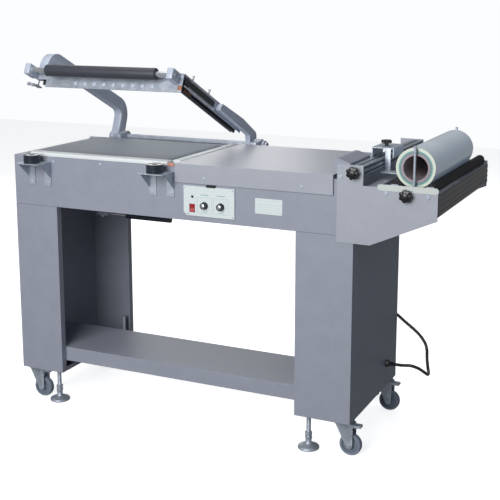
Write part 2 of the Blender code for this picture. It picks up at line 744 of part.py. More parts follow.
def make_film():
    """The roll of film, the two rubber rollers that it lies on, and its two end stops."""
    reach = FILM_RADIUS + ROLLER_RADIUS + GAP
    film_z = ROLLER_Z + math.sqrt(reach**2 - ROLLER_SPREAD**2)
    length = FILM_ENDS[1] - FILM_ENDS[0]
    profile = [(CORE_RADIUS, length), (FILM_RADIUS, length), (FILM_RADIUS, 0), (CORE_RADIUS, 0)]
    turned("film_roll", profile, (FILM_X, FILM_ENDS[1], film_z), ALONG_Y, "film", 32)
    start = 0.0055
    end = STAND_REAR - 0.0090
    stub = (end - start) / 2 + 0.0045
    half = (end - start) / 2
    profile = [
        (0, stub), (AXLE_RADIUS, stub), (AXLE_RADIUS, half), (ROLLER_RADIUS, half),
        (ROLLER_RADIUS, -half), (AXLE_RADIUS, -half), (AXLE_RADIUS, -stub), (0, -stub),
    ]
    for side, name in ((-1, "left_film_roller"), (1, "right_film_roller")):
        location = (FILM_X + side * ROLLER_SPREAD, (start + end) / 2, ROLLER_Z)
        turned(name, profile, location, ALONG_Y, "black_rubber", 24)
    for name, y in (("front_stop", FILM_ENDS[0] - 0.011), ("rear_stop", FILM_ENDS[1] + 0.011)):
        hub_top = 0.892
        stop = box(name, (FILM_X - 0.010, FILM_X + 0.010), (y - 0.008, y + 0.008), (0.866, hub_top), "zinc")
        rod = cylinder(name + "_rod", 0.004, STOP_TOP - 0.880, (FILM_X, y, (STOP_TOP + 0.880) / 2), sides=16)
        bore = cylinder(name + "_bore", STOP_RAIL_RADIUS + GAP, 0.1, (FILM_X, y, STOP_RAIL_Z), ALONG_Y, sides=16)
        cut(join(stop, rod), bore)


def make_perforator():
    """The slotted rail with its sliding film punch, and the small hood beside it."""
    x0, x1, z0, z1 = RAIL
    span = (0.0003, STAND_REAR - SHEET - GAP)
    rail = box("slotted_rail", (x0, x1), span, (z0, z1), "aluminium")
    slots = []
    for number, height in enumerate((z0 + 0.0075, z1 - 0.0075)):
        slot = box(
            f"rail_slot_{number}", (x1 - 0.010, x1 + 0.01), (-0.01, 0.7), (height - 0.003, height + 0.003)
        )
        slots.append(slot)
    slots.append(box("rail_top_slot", (x0 + 0.016, x0 + 0.024), (-0.01, 0.7), (z1 - 0.008, z1 + 0.01)))
    cut(rail, *slots)

    y0, y1 = PERFORATOR_Y
    channel = box("film_punch", PERFORATOR_X, PERFORATOR_Y, (z1 + GAP, PERFORATOR_TOP), "zinc")
    hollow = box(
        "punch_hollow",
        (PERFORATOR_X[0] + SHEET, PERFORATOR_X[1] - SHEET),
        (y0 - 0.01, y1 + 0.01),
        (z1 - 0.01, PERFORATOR_TOP - SHEET),
    )
    strap = box("punch_strap", (1.317, 1.335), (y0 - 0.001, y0 + 0.004), (0.925, PERFORATOR_TOP - 0.001))
    foot = box("punch_foot", (1.317, 1.372), (y0 - 0.045, y0 + 0.004), (0.9215, 0.9255))
    join(cut(channel, hollow), strap, foot)
    knob_x = sum(PERFORATOR_X) / 2 - 0.006
    top = PERFORATOR_TOP + 0.0138
    knob = outline("punch_knob", [star(0.016, 0.003, 3, 24)], 0.010, (knob_x, 0.250, top), kind="black_plastic")
    stem = cylinder("punch_knob_stem", 0.006, 0.012, (knob_x, 0.250, PERFORATOR_TOP + 0.0065), sides=16)
    join(knob, stem)

    left, right, rear, top = HOOD
    foot = TRAY_TOP + 0.004
    loop = [(left, foot), (right, foot), (right, 0.972), (left + 0.012, top), (left, top)]
    hood = outline("film_hood", [loop], rear - GAP, (0, (rear + GAP) / 2, 0), ALONG_Y, "powder_coat")
    inside = [(left + 0.002, 0.90), (right - 0.002, 0.90), (right - 0.002, 0.970), (left + 0.012, top - 0.002)]
    inside.append((left + 0.002, top - 0.002))
    cut(hood, outline("hood_inside", [inside], rear - 0.006, (0, rear / 2 + 0.001, 0), ALONG_Y))


def star(radius, depth, lobes, count):
    """A lobed outline whose radius swings by a cosine, once for each lobe."""
    turns = np.linspace(0, 2 * math.pi, count, endpoint=False)
    reach = radius + depth * np.cos(lobes * turns)
    return list(zip(reach * np.cos(turns), reach * np.sin(turns)))


def make_star_knob(name, x, z):
    """A seven-lobed clamping knob on a short collar, on the stand's front plate."""
    face = -SHEET - 2 * GAP
    knob = outline(name, [star(0.019, 0.0022, 7, 42)], 0.016, (x, face - 0.016, z), ALONG_Y, "black_plastic")
    soften(knob, 0.003, 1)
    collar = cylinder(name + "_collar", 0.009, 0.012, (x, face - 0.006, z), ALONG_Y, sides=16)
    join(knob, collar)


# ---------------------------------------------------------------- casters and feet
def make_caster(name, x, y):
    """A swivel fork with its pedal and axle, and the wheel that turns in it."""
    top = LEG_BOTTOM - GAP
    axle_x = x + CASTER_OFFSET
    axle_z = WHEEL_RADIUS + WHEEL_LIFT
    fork = cylinder(name + "_fork", 0.027, 0.008, (x, y, top - 0.004), kind="zinc")
    crown = box(name + "_crown", (x - 0.022, x + 0.034), (y - 0.0195, y + 0.0195), (top - 0.0140, top - 0.007))
    join(fork, crown)
    for side in (-1, 1):
        cheek = [(x - 0.022, top - 0.008), (x + 0.034, top - 0.008), (x + 0.040, top - 0.030)]
        cheek += arc((axle_x, axle_z), 0.011, 0, -150, 7)
        plate = outline(f"{name}_cheek_{side}", [cheek], SHEET, (0, y + side * 0.018, 0), ALONG_Y)
        join(fork, plate)
    axle = cylinder(name + "_axle", 0.004, 0.040, (axle_x, y, axle_z), ALONG_Y, sides=12)
    pedal = box(name + "_pedal", (x + 0.030, x + 0.064), (y - 0.012, y + 0.012), (top - 0.022, top - 0.014))
    neck = box(name + "_pedal_neck", (x + 0.028, x + 0.040), (y - 0.017, y + 0.017), (top - 0.024, top - 0.010))
    join(fork, axle, pedal, neck)
    half = WHEEL_WIDTH / 2
    profile = [
        (0.0045, half + 0.003), (0.010, half + 0.003), (0.012, half - 0.004), (0.026, half - 0.004),
        (0.028, half - 0.001), (0.034, half), (WHEEL_RADIUS - 0.001, half - 0.004), (WHEEL_RADIUS, 0),
    ]
    profile += [(radius, -height) for radius, height in profile[-2::-1]]
    turned(name + "_wheel", profile, (axle_x, y, axle_z), ALONG_Y, "wheel", 20)


def make_foot(name, x, y):
    """A levelling foot: a domed pad, two nuts and a rod that goes up through the leg's bottom."""
    profile = [
        (0, FOOT_ROD_TOP), (FOOT_ROD, FOOT_ROD_TOP), (FOOT_ROD, 0.060), (0.013, 0.058), (0.013, 0.047),
        (0.010, 0.045), (0.013, 0.043), (0.013, 0.034), (0.010, 0.032), (0.012, 0.018),
        (FOOT_RADIUS - 0.006, 0.011), (FOOT_RADIUS, 0.007), (FOOT_RADIUS, 0), (0, 0),
    ]
    turned(name, profile, (x, y, 0), kind="zinc", steps=16)


# ---------------------------------------------------------------- cord
def smooth_route(points, spacing):
    """Even points along a Catmull-Rom curve through the route's own points."""
    nodes = [Vector(p) for p in points]
    nodes = [2 * nodes[0] - nodes[1]] + nodes + [2 * nodes[-1] - nodes[-2]]
    fine = []
    for a, b, c, d in zip(nodes, nodes[1:], nodes[2:], nodes[3:]):
        square = 2 * a - 5 * b + 4 * c - d
        cube = 3 * b - a - 3 * c + d
        for step in range(20):
            t = step / 20
            fine.append(0.5 * (2 * b + (c - a) * t + square * t**2 + cube * t**3))
    fine.append(nodes[-2])
    lengths = [0.0]
    for a, b in zip(fine, fine[1:]):
        lengths.append(lengths[-1] + (b - a).length)
    count = round(lengths[-1] / spacing) + 1
    wanted = np.linspace(0, lengths[-1], count)
    axes = [np.interp(wanted, lengths, [p[i] for p in fine]) for i in range(3)]
    return list(zip(*axes))


def make_cord():
    """The mains lead: gland, the hanging loop and its run to the floor, a coil, and a round two-pin plug."""
    face = BODY_LENGTH + GAP
    gland_length = 0.034
    profile = [(0, gland_length), (0.0066, gland_length), (0.0090, 0.012), (0.0130, 0.010), (0.0130, 0), (0, 0)]
    turned("cord_gland", profile, (face, GLAND_Y, GLAND_Z), ALONG_X, "black_plastic", 20)
    coil_edge = COIL_MEAN_RADIUS + COIL_HALF_WIDTH
    floor = CORD_RADIUS + 0.0002
    route = [
        (face + gland_length + 2 * GAP, GLAND_Y, GLAND_Z), (1.3340, GLAND_Y, GLAND_Z),
        (1.3500, 0.3745, 0.2105), (1.3740, 0.3755, 0.2125), (1.4000, 0.3825, 0.2040),
        (1.4165, 0.3970, 0.1880), (1.4220, 0.4205, 0.1730), (1.4180, 0.4475, 0.1695),
        (1.4080, 0.4730, 0.1805), (1.3990, 0.4915, 0.2080), (1.3965, 0.4960, 0.2360),
        (1.3865, 0.5020, 0.2595), (1.3660, 0.5050, 0.2840), (1.3415, 0.5070, 0.3035),
        (1.3095, 0.5095, 0.3250), (1.2755, 0.5115, 0.3490), (1.2485, 0.5160, 0.3570),
        (1.2240, 0.5185, 0.3510), (1.2055, 0.5185, 0.3340), (1.1975, 0.5185, 0.3085),
        (1.1935, 0.5185, 0.2595), (1.1930, 0.5185, 0.2000), (1.1930, 0.5185, 0.1400),
        (1.1930, 0.5190, 0.0950), (1.1930, 0.5260, 0.0490), (1.1925, 0.5500, 0.0180),
        (1.1900, 0.5850, floor), (1.1760, 0.6180, floor), (1.1530, 0.6460, floor),
        (1.1240, 0.6640, floor),
        (COIL_X + 0.008, COIL_Y + coil_edge + CORD_RADIUS + 0.0020, floor),
    ]
    tube("cord", smooth_route(route, 0.0245), CORD_RADIUS, "black_rubber")
    inner = COIL_MEAN_RADIUS - COIL_HALF_WIDTH
    profile = [(inner, COIL_HEIGHT), (coil_edge, COIL_HEIGHT), (coil_edge, 0.0002), (inner, 0.0002)]
    turned("cord_coil", profile, (COIL_X, COIL_Y, 0), kind="black_rubber", steps=32)
    plug_z = 0.0175
    tip_x = COIL_X - 0.0430
    plug_y = COIL_Y + COIL_MEAN_RADIUS + 0.0110
    profile = [
        (0, 0.062), (0.0165, 0.062), (0.0172, 0.058), (0.0172, 0.034), (0.0125, 0.026), (0.0085, 0.022),
        (0.0062, 0.0), (0, 0.0),
    ]
    plug = turned("plug", profile, (tip_x, plug_y, plug_z), (0, -math.pi / 2, 0), "black_plastic", 24)
    for side in (-1, 1):
        at = (tip_x - 0.069, plug_y + side * 0.0095, plug_z)
        pin = cylinder(f"plug_pin_{side}", 0.0024, 0.024, at, ALONG_X, sides=12)
        join(plug, pin)


def move_to_origin():
    """Moves every piece and cutter, so that the origin is under the middle of the machine."""
    for obj in list(parts.objects) + list(helpers.objects):
        if obj.parent is None:
            obj.location.x -= ORIGIN_X
            obj.location.y -= ORIGIN_Y


def build():
    make_body()
    make_leg("left_leg", (0, LEFT_LEG_WIDTH), LEFT_LEG_WIDTH)
    make_leg("right_leg", (BODY_LENGTH - RIGHT_LEG_WIDTH, BODY_LENGTH), BODY_LENGTH - RIGHT_LEG_WIDTH)
    make_shelf()
    make_conveyor()
    make_pads()
    make_tray()
    make_panel()
    for side, x in MAGNETS.items():
        make_magnet(side, x)
    make_arm()
    for side, x in BEARINGS.items():
        make_bearing(side, x)
    make_spring()
    make_stand()
    make_film()
    make_perforator()
    make_star_knob("rail_clamp_knob", 1.283, 0.9450)
    make_star_knob("stop_clamp_knob", 1.451, 0.8870)
    for side, x in CASTER_X.items():
        for end, y in CASTER_Y.items():
            make_caster(f"{end}_{side}_caster", x, y)
    for corner, (x, y) in FEET.items():
        make_foot(corner + "_foot", x, y)
    make_cord()
    move_to_origin()


build()
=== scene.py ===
# %% [markdown]
# # An L-bar film sealer
# The machine welds and cuts shrink film round a product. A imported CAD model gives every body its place
# and its joints. The look could be modelled from nothing, but then it would drift from the joints. So this
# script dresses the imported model: it rounds the folded sheet, paints and plates it, and adds the screws,
# marks, knobs, tyres and the mains lead. All numbers are in metres, unless a name ends in _mm. `spot`
# counts them from the front left corner of the steel body, as a fitter would measure them.

# %% Load the frame
import json
import math

import bmesh
import bpy
import numpy as np
from mathutils import Matrix, Vector


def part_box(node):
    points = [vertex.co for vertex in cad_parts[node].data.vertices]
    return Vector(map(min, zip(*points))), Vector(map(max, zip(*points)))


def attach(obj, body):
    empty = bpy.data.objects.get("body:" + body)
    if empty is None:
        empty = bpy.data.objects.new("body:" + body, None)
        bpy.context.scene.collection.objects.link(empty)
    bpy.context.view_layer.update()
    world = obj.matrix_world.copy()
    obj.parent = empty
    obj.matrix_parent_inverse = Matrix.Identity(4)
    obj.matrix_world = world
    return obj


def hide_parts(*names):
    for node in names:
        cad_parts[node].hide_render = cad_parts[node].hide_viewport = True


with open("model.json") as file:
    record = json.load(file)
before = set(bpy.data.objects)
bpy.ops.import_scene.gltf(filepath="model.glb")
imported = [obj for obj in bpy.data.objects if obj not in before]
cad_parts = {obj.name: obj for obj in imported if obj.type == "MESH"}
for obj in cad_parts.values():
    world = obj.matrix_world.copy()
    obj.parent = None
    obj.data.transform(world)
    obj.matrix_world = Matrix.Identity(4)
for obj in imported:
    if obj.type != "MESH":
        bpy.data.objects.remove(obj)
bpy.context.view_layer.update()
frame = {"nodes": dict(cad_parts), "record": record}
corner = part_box("main_body")[0]
CORNER = np.array([corner.x, corner.y, 0.0])


def spot(x, y, z):
    """A point counted from the body's front left corner and from the floor."""
    return CORNER + (x, y, z)


# %% [markdown]
# ## Camera
# A long lens looks down on the machine from the front right. A wide lens close by would bend the long
# body, so the camera stands about three and a half metres off. A small vertical shift moves the machine up
# in the picture, where more tilt would make its uprights lean more.

# %% Camera
camera = bpy.data.objects.new("camera", bpy.data.cameras.new("camera"))
bpy.context.scene.collection.objects.link(camera)
camera.data.sensor_width = 36.0
camera.data.lens = 74.2
camera.data.shift_y = -0.10
camera.location = spot(2.312, -2.948, 1.467)
camera.rotation_euler = (math.radians(78.929), 0.0, math.radians(25.092))
bpy.context.scene.camera = camera
print("lens", round(camera.data.lens, 1), "mm, standing", np.round(list(camera.location), 2).tolist())

# %% [markdown]
# ## Shapes from arrays
# Screws, knobs, tyres and rolls could be built from Blender's own primitives and edited by hand. Worked
# out as a grid of points they stay exact and easy to change: rows along the piece, and columns round its
# section. One function turns such a grid into a closed mesh. It works out the enclosed volume, which tells
# whether the faces point outwards, and turns them round if they don't.

# %% Grid to mesh
def wrapped(count, closed):
    """The numbers of the cells along one way of a grid: one fewer than its points unless it closes."""
    return np.arange(count if closed else count - 1)


def grid_faces(rows, columns, ring_rows=False, ring_columns=True):
    """Quads between neighbours: face (i, j) joins points (i, j), (i, j+1), (i+1, j+1) and (i+1, j)."""
    i, j = np.meshgrid(wrapped(rows, ring_rows), wrapped(columns, ring_columns), indexing="ij")
    i, j = i.ravel(), j.ravel()
    up, right = (i + 1) % rows, (j + 1) % columns
    return np.stack([i * columns + j, i * columns + right, up * columns + right, up * columns + j], 1)


def signed_volume(points, faces):
    """The sum over the triangles of a . (b x c) / 6, which is positive where faces point outwards."""
    total = 0.0
    for face in faces:
        first = points[face[0]]
        b, c = points[face[1:-1]], points[face[2:]]
        total += np.einsum("i,ji->", first, np.cross(b, c)) / 6
    return total


def smooth(mesh, degrees=35):
    """Smooth shading, with a sharp line wherever two faces meet at more than the angle."""
    mesh.shade_smooth()
    mesh.set_sharp_from_angle(angle=math.radians(degrees))


def piece(name, points, faces, material, body, replaces=(), bevel=0.0):
    """Makes a mesh object at the origin, gives it its finish, lets it ride and hides what it replaces."""
    mesh = bpy.data.meshes.new(name)
    mesh.from_pydata(np.asarray(points).tolist(), [], [list(map(int, face)) for face in faces])
    return dress(name, mesh, material, body, replaces, bevel)


def dress(name, mesh, material, body, replaces=(), bevel=0.0):
    """Gives a mesh its finish, its rounded edges and the body it rides on."""
    smooth(mesh)
    mesh.materials.clear()
    mesh.materials.append(material)
    made = bpy.data.objects.new(name, mesh)
    bpy.context.scene.collection.objects.link(made)
    if bevel:
        round_off = made.modifiers.new("edge", "BEVEL")
        round_off.width = bevel
        round_off.segments = 3
        round_off.limit_method = "ANGLE"
        round_off.angle_limit = math.radians(40)
        round_off.harden_normals = True
    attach(made, body)
    if replaces:
        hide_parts(*replaces)
    return made


def solid(rows):
    """Points and faces of a closed grid: rows of sections, with the first and last row filled."""
    rows = np.asarray(rows, float)
    count, around = rows.shape[:2]
    points = rows.reshape(-1, 3)
    faces = [list(face) for face in grid_faces(count, around)]
    faces.append(list(range(around))[::-1])
    faces.append(list(range((count - 1) * around, count * around)))
    if signed_volume(points, faces) < 0:
        faces = [face[::-1] for face in faces]
    return points, faces


def ring(rows):
    """Points and faces of a grid that closes on itself both ways."""
    rows = np.asarray(rows, float)
    count, around = rows.shape[:2]
    points = rows.reshape(-1, 3)
    faces = [list(face) for face in grid_faces(count, around, ring_rows=True)]
    if signed_volume(points, faces) < 0:
        faces = [face[::-1] for face in faces]
    return points, faces


def together(*shapes):
    """Several (points, faces) shapes as one."""
    points, faces, base = [], [], 0
    for some_points, some_faces in shapes:
        points.append(some_points)
        faces += [[base + int(i) for i in face] for face in some_faces]
        base += len(some_points)
    return np.vstack(points), faces


square = np.array([[0, 0], [1, 0], [1, 1], [0, 1]], float)
unit_block = solid([np.column_stack([square, np.full(4, height)]) for height in (0.0, 1.0)])
print("a unit block encloses", round(signed_volume(*unit_block), 3))

# %% [markdown]
# ## Turned and drawn shapes
# Nearly all small parts of a machine are turned on a lathe or cut from a drawn bar, so they are made the
# same way here. A lathe part is a profile of (radius, distance along the axis) carried round its axis. A
# drawn bar is an outline carried straight along one. A Screw or Extrude modifier could do it too, but an
# array can also swing the radius with the angle, which gives star knobs and threads.

# %% Turned and drawn
AXES = {
    "x": (np.array([1.0, 0, 0]), np.array([0, 1.0, 0]), np.array([0, 0, 1.0])),
    "-x": (np.array([-1.0, 0, 0]), np.array([0, 1.0, 0]), np.array([0, 0, 1.0])),
    "y": (np.array([0, 1.0, 0]), np.array([1.0, 0, 0]), np.array([0, 0, 1.0])),
    "-y": (np.array([0, -1.0, 0]), np.array([1.0, 0, 0]), np.array([0, 0, 1.0])),
    "z": (np.array([0, 0, 1.0]), np.array([1.0, 0, 0]), np.array([0, 1.0, 0])),
}


def lathe(profile, centre, axis="z", steps=48, lobes=0, depth=0.0, closed=False):
    """Point (i, a) = centre + h_i * axis + (r_i + depth * cos(lobes * a)) * (cos a, sin a)."""
    along, e1, e2 = AXES[axis]
    radius, height = np.array(profile, float).T
    turn = np.linspace(0, 2 * np.pi, steps, endpoint=False)
    reach = radius[:, None] + depth * np.cos(lobes * turn)[None, :] * (radius > 0.6 * radius.max())[:, None]
    rows = (
        np.asarray(centre, float)
        + height[:, None, None] * along
        + (reach * np.cos(turn))[..., None] * e1
        + (reach * np.sin(turn))[..., None] * e2
    )
    return ring(rows) if closed else solid(rows)


def bar(outline, start, end):
    """An outline of (x, z) points carried from start to end, as a drawn bar lies along Y."""
    _, e1, e2 = AXES["y"]
    outline = np.array(outline, float)
    flat = outline[:, :1] * e1 + outline[:, 1:] * e2
    return solid(np.stack([flat + np.asarray(start, float), flat + np.asarray(end, float)]))


def block(low, high):
    """A box between two corners."""
    low, high = np.asarray(low, float), np.asarray(high, float)
    return bar([(low[0], low[2]), (high[0], low[2]), (high[0], high[2]), (low[0], high[2])],
               (0, low[1], 0), (0, high[1], 0))


def rounded(width, height, radius, steps=6):
    """A rectangle round the origin whose corners are quarter circles."""
    quarter = np.linspace(0, np.pi / 2, steps)
    points = []
    for k, (x, y) in enumerate(((1, 1), (-1, 1), (-1, -1), (1, -1))):
        turn = quarter + k * np.pi / 2
        centre = np.array([x * (width / 2 - radius), y * (height / 2 - radius)])
        points.append(centre + radius * np.stack([np.cos(turn), np.sin(turn)], 1))
    return np.vstack(points)


def shifted(shape, x, y, z):
    """The same shape moved by (x, y, z)."""
    return shape[0] + np.array([x, y, z]), shape[1]


test_rod = lathe([(0.005, 0), (0.005, 0.020)], (0, 0, 0))
print("a rod 10 mm across and 20 mm long holds", round(signed_volume(*test_rod) * 1e9), "mm3")

# %% [markdown]
# ## Colours and the one node helper
# Colours are written as the hex values that a paint chart would give. The renderer wants linear numbers,
# so one function turns them. No real surface is one flat colour: paint has orange peel, zinc has streaks.
# Image textures could carry that, but noise needs no files and no unwrapping. One helper adds any shader
# node with its settings and its links.

# %% Colour and nodes
def linear(hex_value):
    """sRGB hex to linear: c / 12.92 below 0.04045, and ((c + 0.055) / 1.055) ** 2.4 above."""
    parts = np.array([int(hex_value[i : i + 2], 16) for i in (1, 3, 5)]) / 255
    bent = np.where(parts <= 0.04045, parts / 12.92, ((parts + 0.055) / 1.055) ** 2.4)
    return (*bent.tolist(), 1.0)


def add(tree, kind, inputs=None, **settings):
    """Adds one shader node. An input is a plain value, or the output socket that feeds it."""
    made = tree.nodes.new("ShaderNode" + kind)
    for key, value in settings.items():
        setattr(made, key, value)
    for key, value in (inputs or {}).items():
        if isinstance(value, bpy.types.NodeSocket):
            tree.links.new(value, made.inputs[key])
        else:
            made.inputs[key].default_value = value
    return made


# Noise values pile up round a half, and almost all lie between these two.
NOISE_LOW, NOISE_HIGH = 0.3, 0.7


def finish(name, light, dark, grain_mm, bump_mm=0.0, stretch=(1, 1, 1), patch_mm=60.0, patch=0.25,
           rough=(0.5, 0.5), **shader_values):
    """A finish whose colour swings between two tones by fine grain and by broad patches.

    Fine grain is noise with one swing per grain size, also used for relief. Patches are slow noise.
    The colour is dark + (light - dark) * ((1 - patch) * grain + patch * patches).
    """
    material = bpy.data.materials.new(name)
    material.use_nodes = True
    tree = material.node_tree
    shader = tree.nodes["Principled BSDF"]
    place = add(tree, "TexCoord")
    drawn = add(tree, "Mapping", {"Vector": place.outputs["Object"], "Scale": stretch})
    fine = add(tree, "TexNoise", {"Vector": drawn.outputs[0], "Scale": 1000 / grain_mm, "Detail": 3.0})
    broad = add(tree, "TexNoise", {"Vector": place.outputs["Object"], "Scale": 1000 / patch_mm,
                                   "Detail": 2.0})
    blend = add(tree, "Mix", {"Factor": patch, 2: fine.outputs[0], 3: broad.outputs[0]})
    swing = {"Value": blend.outputs[0], "From Min": NOISE_LOW, "From Max": NOISE_HIGH}
    spread = add(tree, "MapRange", swing)
    tone = add(tree, "Mix", {"Factor": spread.outputs[0], 6: linear(dark), 7: linear(light)},
               data_type="RGBA")
    gloss = add(tree, "MapRange", {**swing, "To Min": rough[0], "To Max": rough[1]})
    tree.links.new(tone.outputs[2], shader.inputs["Base Color"])
    tree.links.new(gloss.outputs[0], shader.inputs["Roughness"])
    if bump_mm:
        relief = add(tree, "Bump", {"Height": fine.outputs[0], "Distance": bump_mm / 1000, "Strength": 0.8})
        tree.links.new(relief.outputs[0], shader.inputs["Normal"])
    for key, value in shader_values.items():
        shader.inputs[key.replace("_", " ")].default_value = value
    return material


print("mid grey in linear numbers is", np.round(linear("#808080")[:3], 3).tolist())

# %% [markdown]
# ## Finishes
# Each finish is named for what the real piece is made of, and starts from that material's usual roughness
# and index of refraction. Grain sizes are in millimetres. The real grain of paint, zinc or rubber is well
# under one millimetre and would vanish at this distance, so it is drawn coarser, mostly at one to three.

# %% Paints, metals, rubbers
# Powder coat: baked polyester powder with a fine orange peel, satin, blue-grey.
powder_coat = finish("satin powder coat", "#A0A4B3", "#8E93A1", 2.2, 0.10, rough=(0.42, 0.55), IOR=1.5)
# The stand and the tray wear the body's paint, smoother, and drawn a little lighter as painted light, since
# the tray's top faces the light from above.
painted_top_light_coat = finish("powder coat lightened as painted top light", "#ADB2BC", "#A0A4B0", 2.2, 0.05, rough=(0.33, 0.45), IOR=1.5)
# Zinc plate: rolled steel with a bright bluish film, faintly streaked along the bar.
zinc = finish("bright zinc plate", "#C6CDD8", "#9FA8B6", 3.0, 0.03, (0.3, 1, 1), 25.0, 0.5,
              rough=(0.36, 0.52), Metallic=0.55)
# Chrome on polished steel: close to a mirror, so it takes its tone from what stands round it.
chrome = finish("polished chrome", "#E2E6EC", "#D2D8E0", 6.0, rough=(0.12, 0.20), Metallic=0.85)
# Cast and filed aluminium: soft, wide highlights.
aluminium = finish("satin aluminium", "#CDD5E4", "#B6C0D2", 2.5, 0.04, rough=(0.34, 0.46), Metallic=0.10)
# Brushed extrusion: lines run along Y.
drawn_aluminium = finish("drawn aluminium", "#B2B9C4", "#858D99", 1.6, 0.02, (1, 0.02, 1), 30.0, 0.3,
                         rough=(0.32, 0.45), Metallic=0.6)
# Conveyor belt: woven polyester with a matt PVC face, grey-green.
belt_cloth = finish("pvc belt", "#868E98", "#747C87", 1.8, 0.12, rough=(0.55, 0.75), patch_mm=90.0, IOR=1.52)
# Silicone strip with a glass-cloth cover, white.
silicone = finish("white silicone", "#F0F4F5", "#DDE4E8", 1.5, 0.03, rough=(0.45, 0.6), IOR=1.41)
# Moulded ABS: black, with one soft highlight on every rounded edge.
black_moulding = finish("black abs moulding", "#1B1C20", "#131417", 1.0, 0.03, rough=(0.25, 0.38), IOR=1.54)
# Stoved enamel: blue-black and the glossiest of the dark finishes.
enamel = finish("black enamel", "#2B3440", "#1C222B", 4.0, 0.01, rough=(0.15, 0.28), IOR=1.52)
# A non-stick coating keeps film off the hot blade: dark grey, with hardly any shine.
blade_coating = finish("ptfe coated blade", "#3B3C40", "#29292D", 1.2, 0.02, rough=(0.4, 0.55), IOR=1.38)
# Rubber sleeves: the deepest black here, and the film polishes them only a little.
rubber = finish("black rubber", "#1B1C1F", "#121315", 1.2, 0.04, rough=(0.5, 0.7), IOR=1.52,
                Specular_IOR_Level=0.25)
# Soft PVC: black, with a faint line of light along the lead.
cable_sheath = finish("pvc cable sheath", "#232428", "#191A1D", 2.0, 0.01, rough=(0.35, 0.5), IOR=1.53)
# Closed-cell foam: tiny pores, matt, a soft bloom on top.
foam = finish("closed cell foam", "#484B55", "#34373F", 1.4, 0.10, rough=(0.34, 0.46), IOR=1.52)
# Printed polyester sheet: flat, pale, evenly matt.
overlay = finish("polyester overlay", "#E3ECEC", "#D3DEDF", 3.0, 0.01, rough=(0.35, 0.45), IOR=1.55)
# Clear red polycarbonate over a lamp that is off: deep red and glossy.
red_plastic = finish("red polycarbonate", "#B52C38", "#8F1D28", 2.0, rough=(0.3, 0.42), IOR=1.58)
# Screen ink: a matt pale blue-green that just parts from the overlay.
print_ink = finish("pale printing ink", "#A9C4C6", "#93B0B3", 1.0, rough=(0.5, 0.6))
# Uncoloured nylon: milky, a little green, with a waxy shine.
nylon = finish("natural nylon", "#D2D9D6", "#BEC6C4", 1.5, 0.03, rough=(0.35, 0.5), IOR=1.53)
# Copper that has been hot: pink where it is clean, brown where it is stained.
copper = finish("heat stained copper", "#D08E6E", "#80503C", 4.0, 0.05, rough=(0.35, 0.5), Metallic=0.6)
# Wound board: dull, with paper fibre and no highlight at all.
cardboard = finish("wound cardboard", "#B9AFB6", "#978A90", 1.5, 0.10, rough=(0.8, 0.95), IOR=1.45)
# Grey rubber that leaves no marks on a floor: matt and dusty blue-grey.
tyre_rubber = finish("grey tread rubber", "#8F99AA", "#747E90", 1.5, 0.05, rough=(0.45, 0.6), IOR=1.52)
# The wheel's centre is moulded nylon, darker and smoother than its tyre.
hub_plastic = finish("grey nylon hub", "#7C8798", "#66707F", 2.0, 0.02, rough=(0.35, 0.5), IOR=1.53)
# Silicone made for heat: salmon pink and soft to look at.
salmon = finish("silicone corner pad", "#D8A08E", "#BC7F6E", 1.5, 0.03, rough=(0.5, 0.6), IOR=1.41)
print(len(bpy.data.materials), "materials, with those that came with the CAD")

# %% [markdown]
# ## Shrink film
# Hundreds of clear layers on a core look milky and glossy outside. They could be given as glass, but then
# the render would have to follow light through every layer, so the roll is a pale solid with a clear coat
# and a faint painted glow, a bluish emission that lifts the whole roll. The cut end shows rings by how tight
# each layer was wound, and its colour follows the distance from the roll's axis.

# %% Film
ROLL = sum(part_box("film_roll"), Vector()) / 2
# Radii of the film, of the core's outside and of the core's bore.
OUTER, INNER, BORE = 0.062, 0.0455, 0.038
# Its emission is a painted glow that brightens the roll.
film = finish("wound shrink film", "#EAF1F6", "#D6E0E9", 8.0, 0.01, (1, 0.04, 1), 160.0, 0.85,
              rough=(0.20, 0.26), IOR=1.5, Coat_Weight=0.5, Emission_Strength=0.15)
# Painted light: the film glows a little of its own, in a bluer tone, to lift it where the lamps leave it dim.
film.node_tree.nodes["Principled BSDF"].inputs["Emission Color"].default_value = linear("#B4CBE8")


def ringed_film():
    """The cut end: colour by sqrt(x^2 + z^2) from the axis, teal inside and green-white outside."""
    material = finish("cut film end", "#DDE5DE", "#C9D5CE", 3.0, rough=(0.25, 0.4), IOR=1.5)
    tree = material.node_tree
    shader = tree.nodes["Principled BSDF"]
    place = add(tree, "TexCoord")
    flat = add(tree, "Mapping", {"Vector": place.outputs["Object"], "Location": (-ROLL.x, 0.0, -ROLL.z)})
    flat.inputs["Scale"].default_value = (1.0, 0.0, 1.0)
    reach = add(tree, "VectorMath", {0: flat.outputs[0]}, operation="LENGTH")
    share = add(tree, "MapRange", {"Value": reach.outputs["Value"], "From Min": INNER, "From Max": OUTER})
    ramp = add(tree, "ValToRGB", {"Fac": share.outputs[0]})
    stops = ((0.0, "#8C93A6"), (0.16, "#5F8E8E"), (0.40, "#7FAAA6"), (0.52, "#D3DFD2"), (1.0, "#E6ECDC"))
    for number, (at, colour) in enumerate(stops):
        stop = ramp.color_ramp.elements[number] if number < 2 else ramp.color_ramp.elements.new(at)
        stop.position = at
        stop.color = linear(colour)
    tree.links.new(ramp.outputs[0], shader.inputs["Base Color"])
    return material


cut_film = ringed_film()
print("roll axis at", np.round(ROLL, 4).tolist())
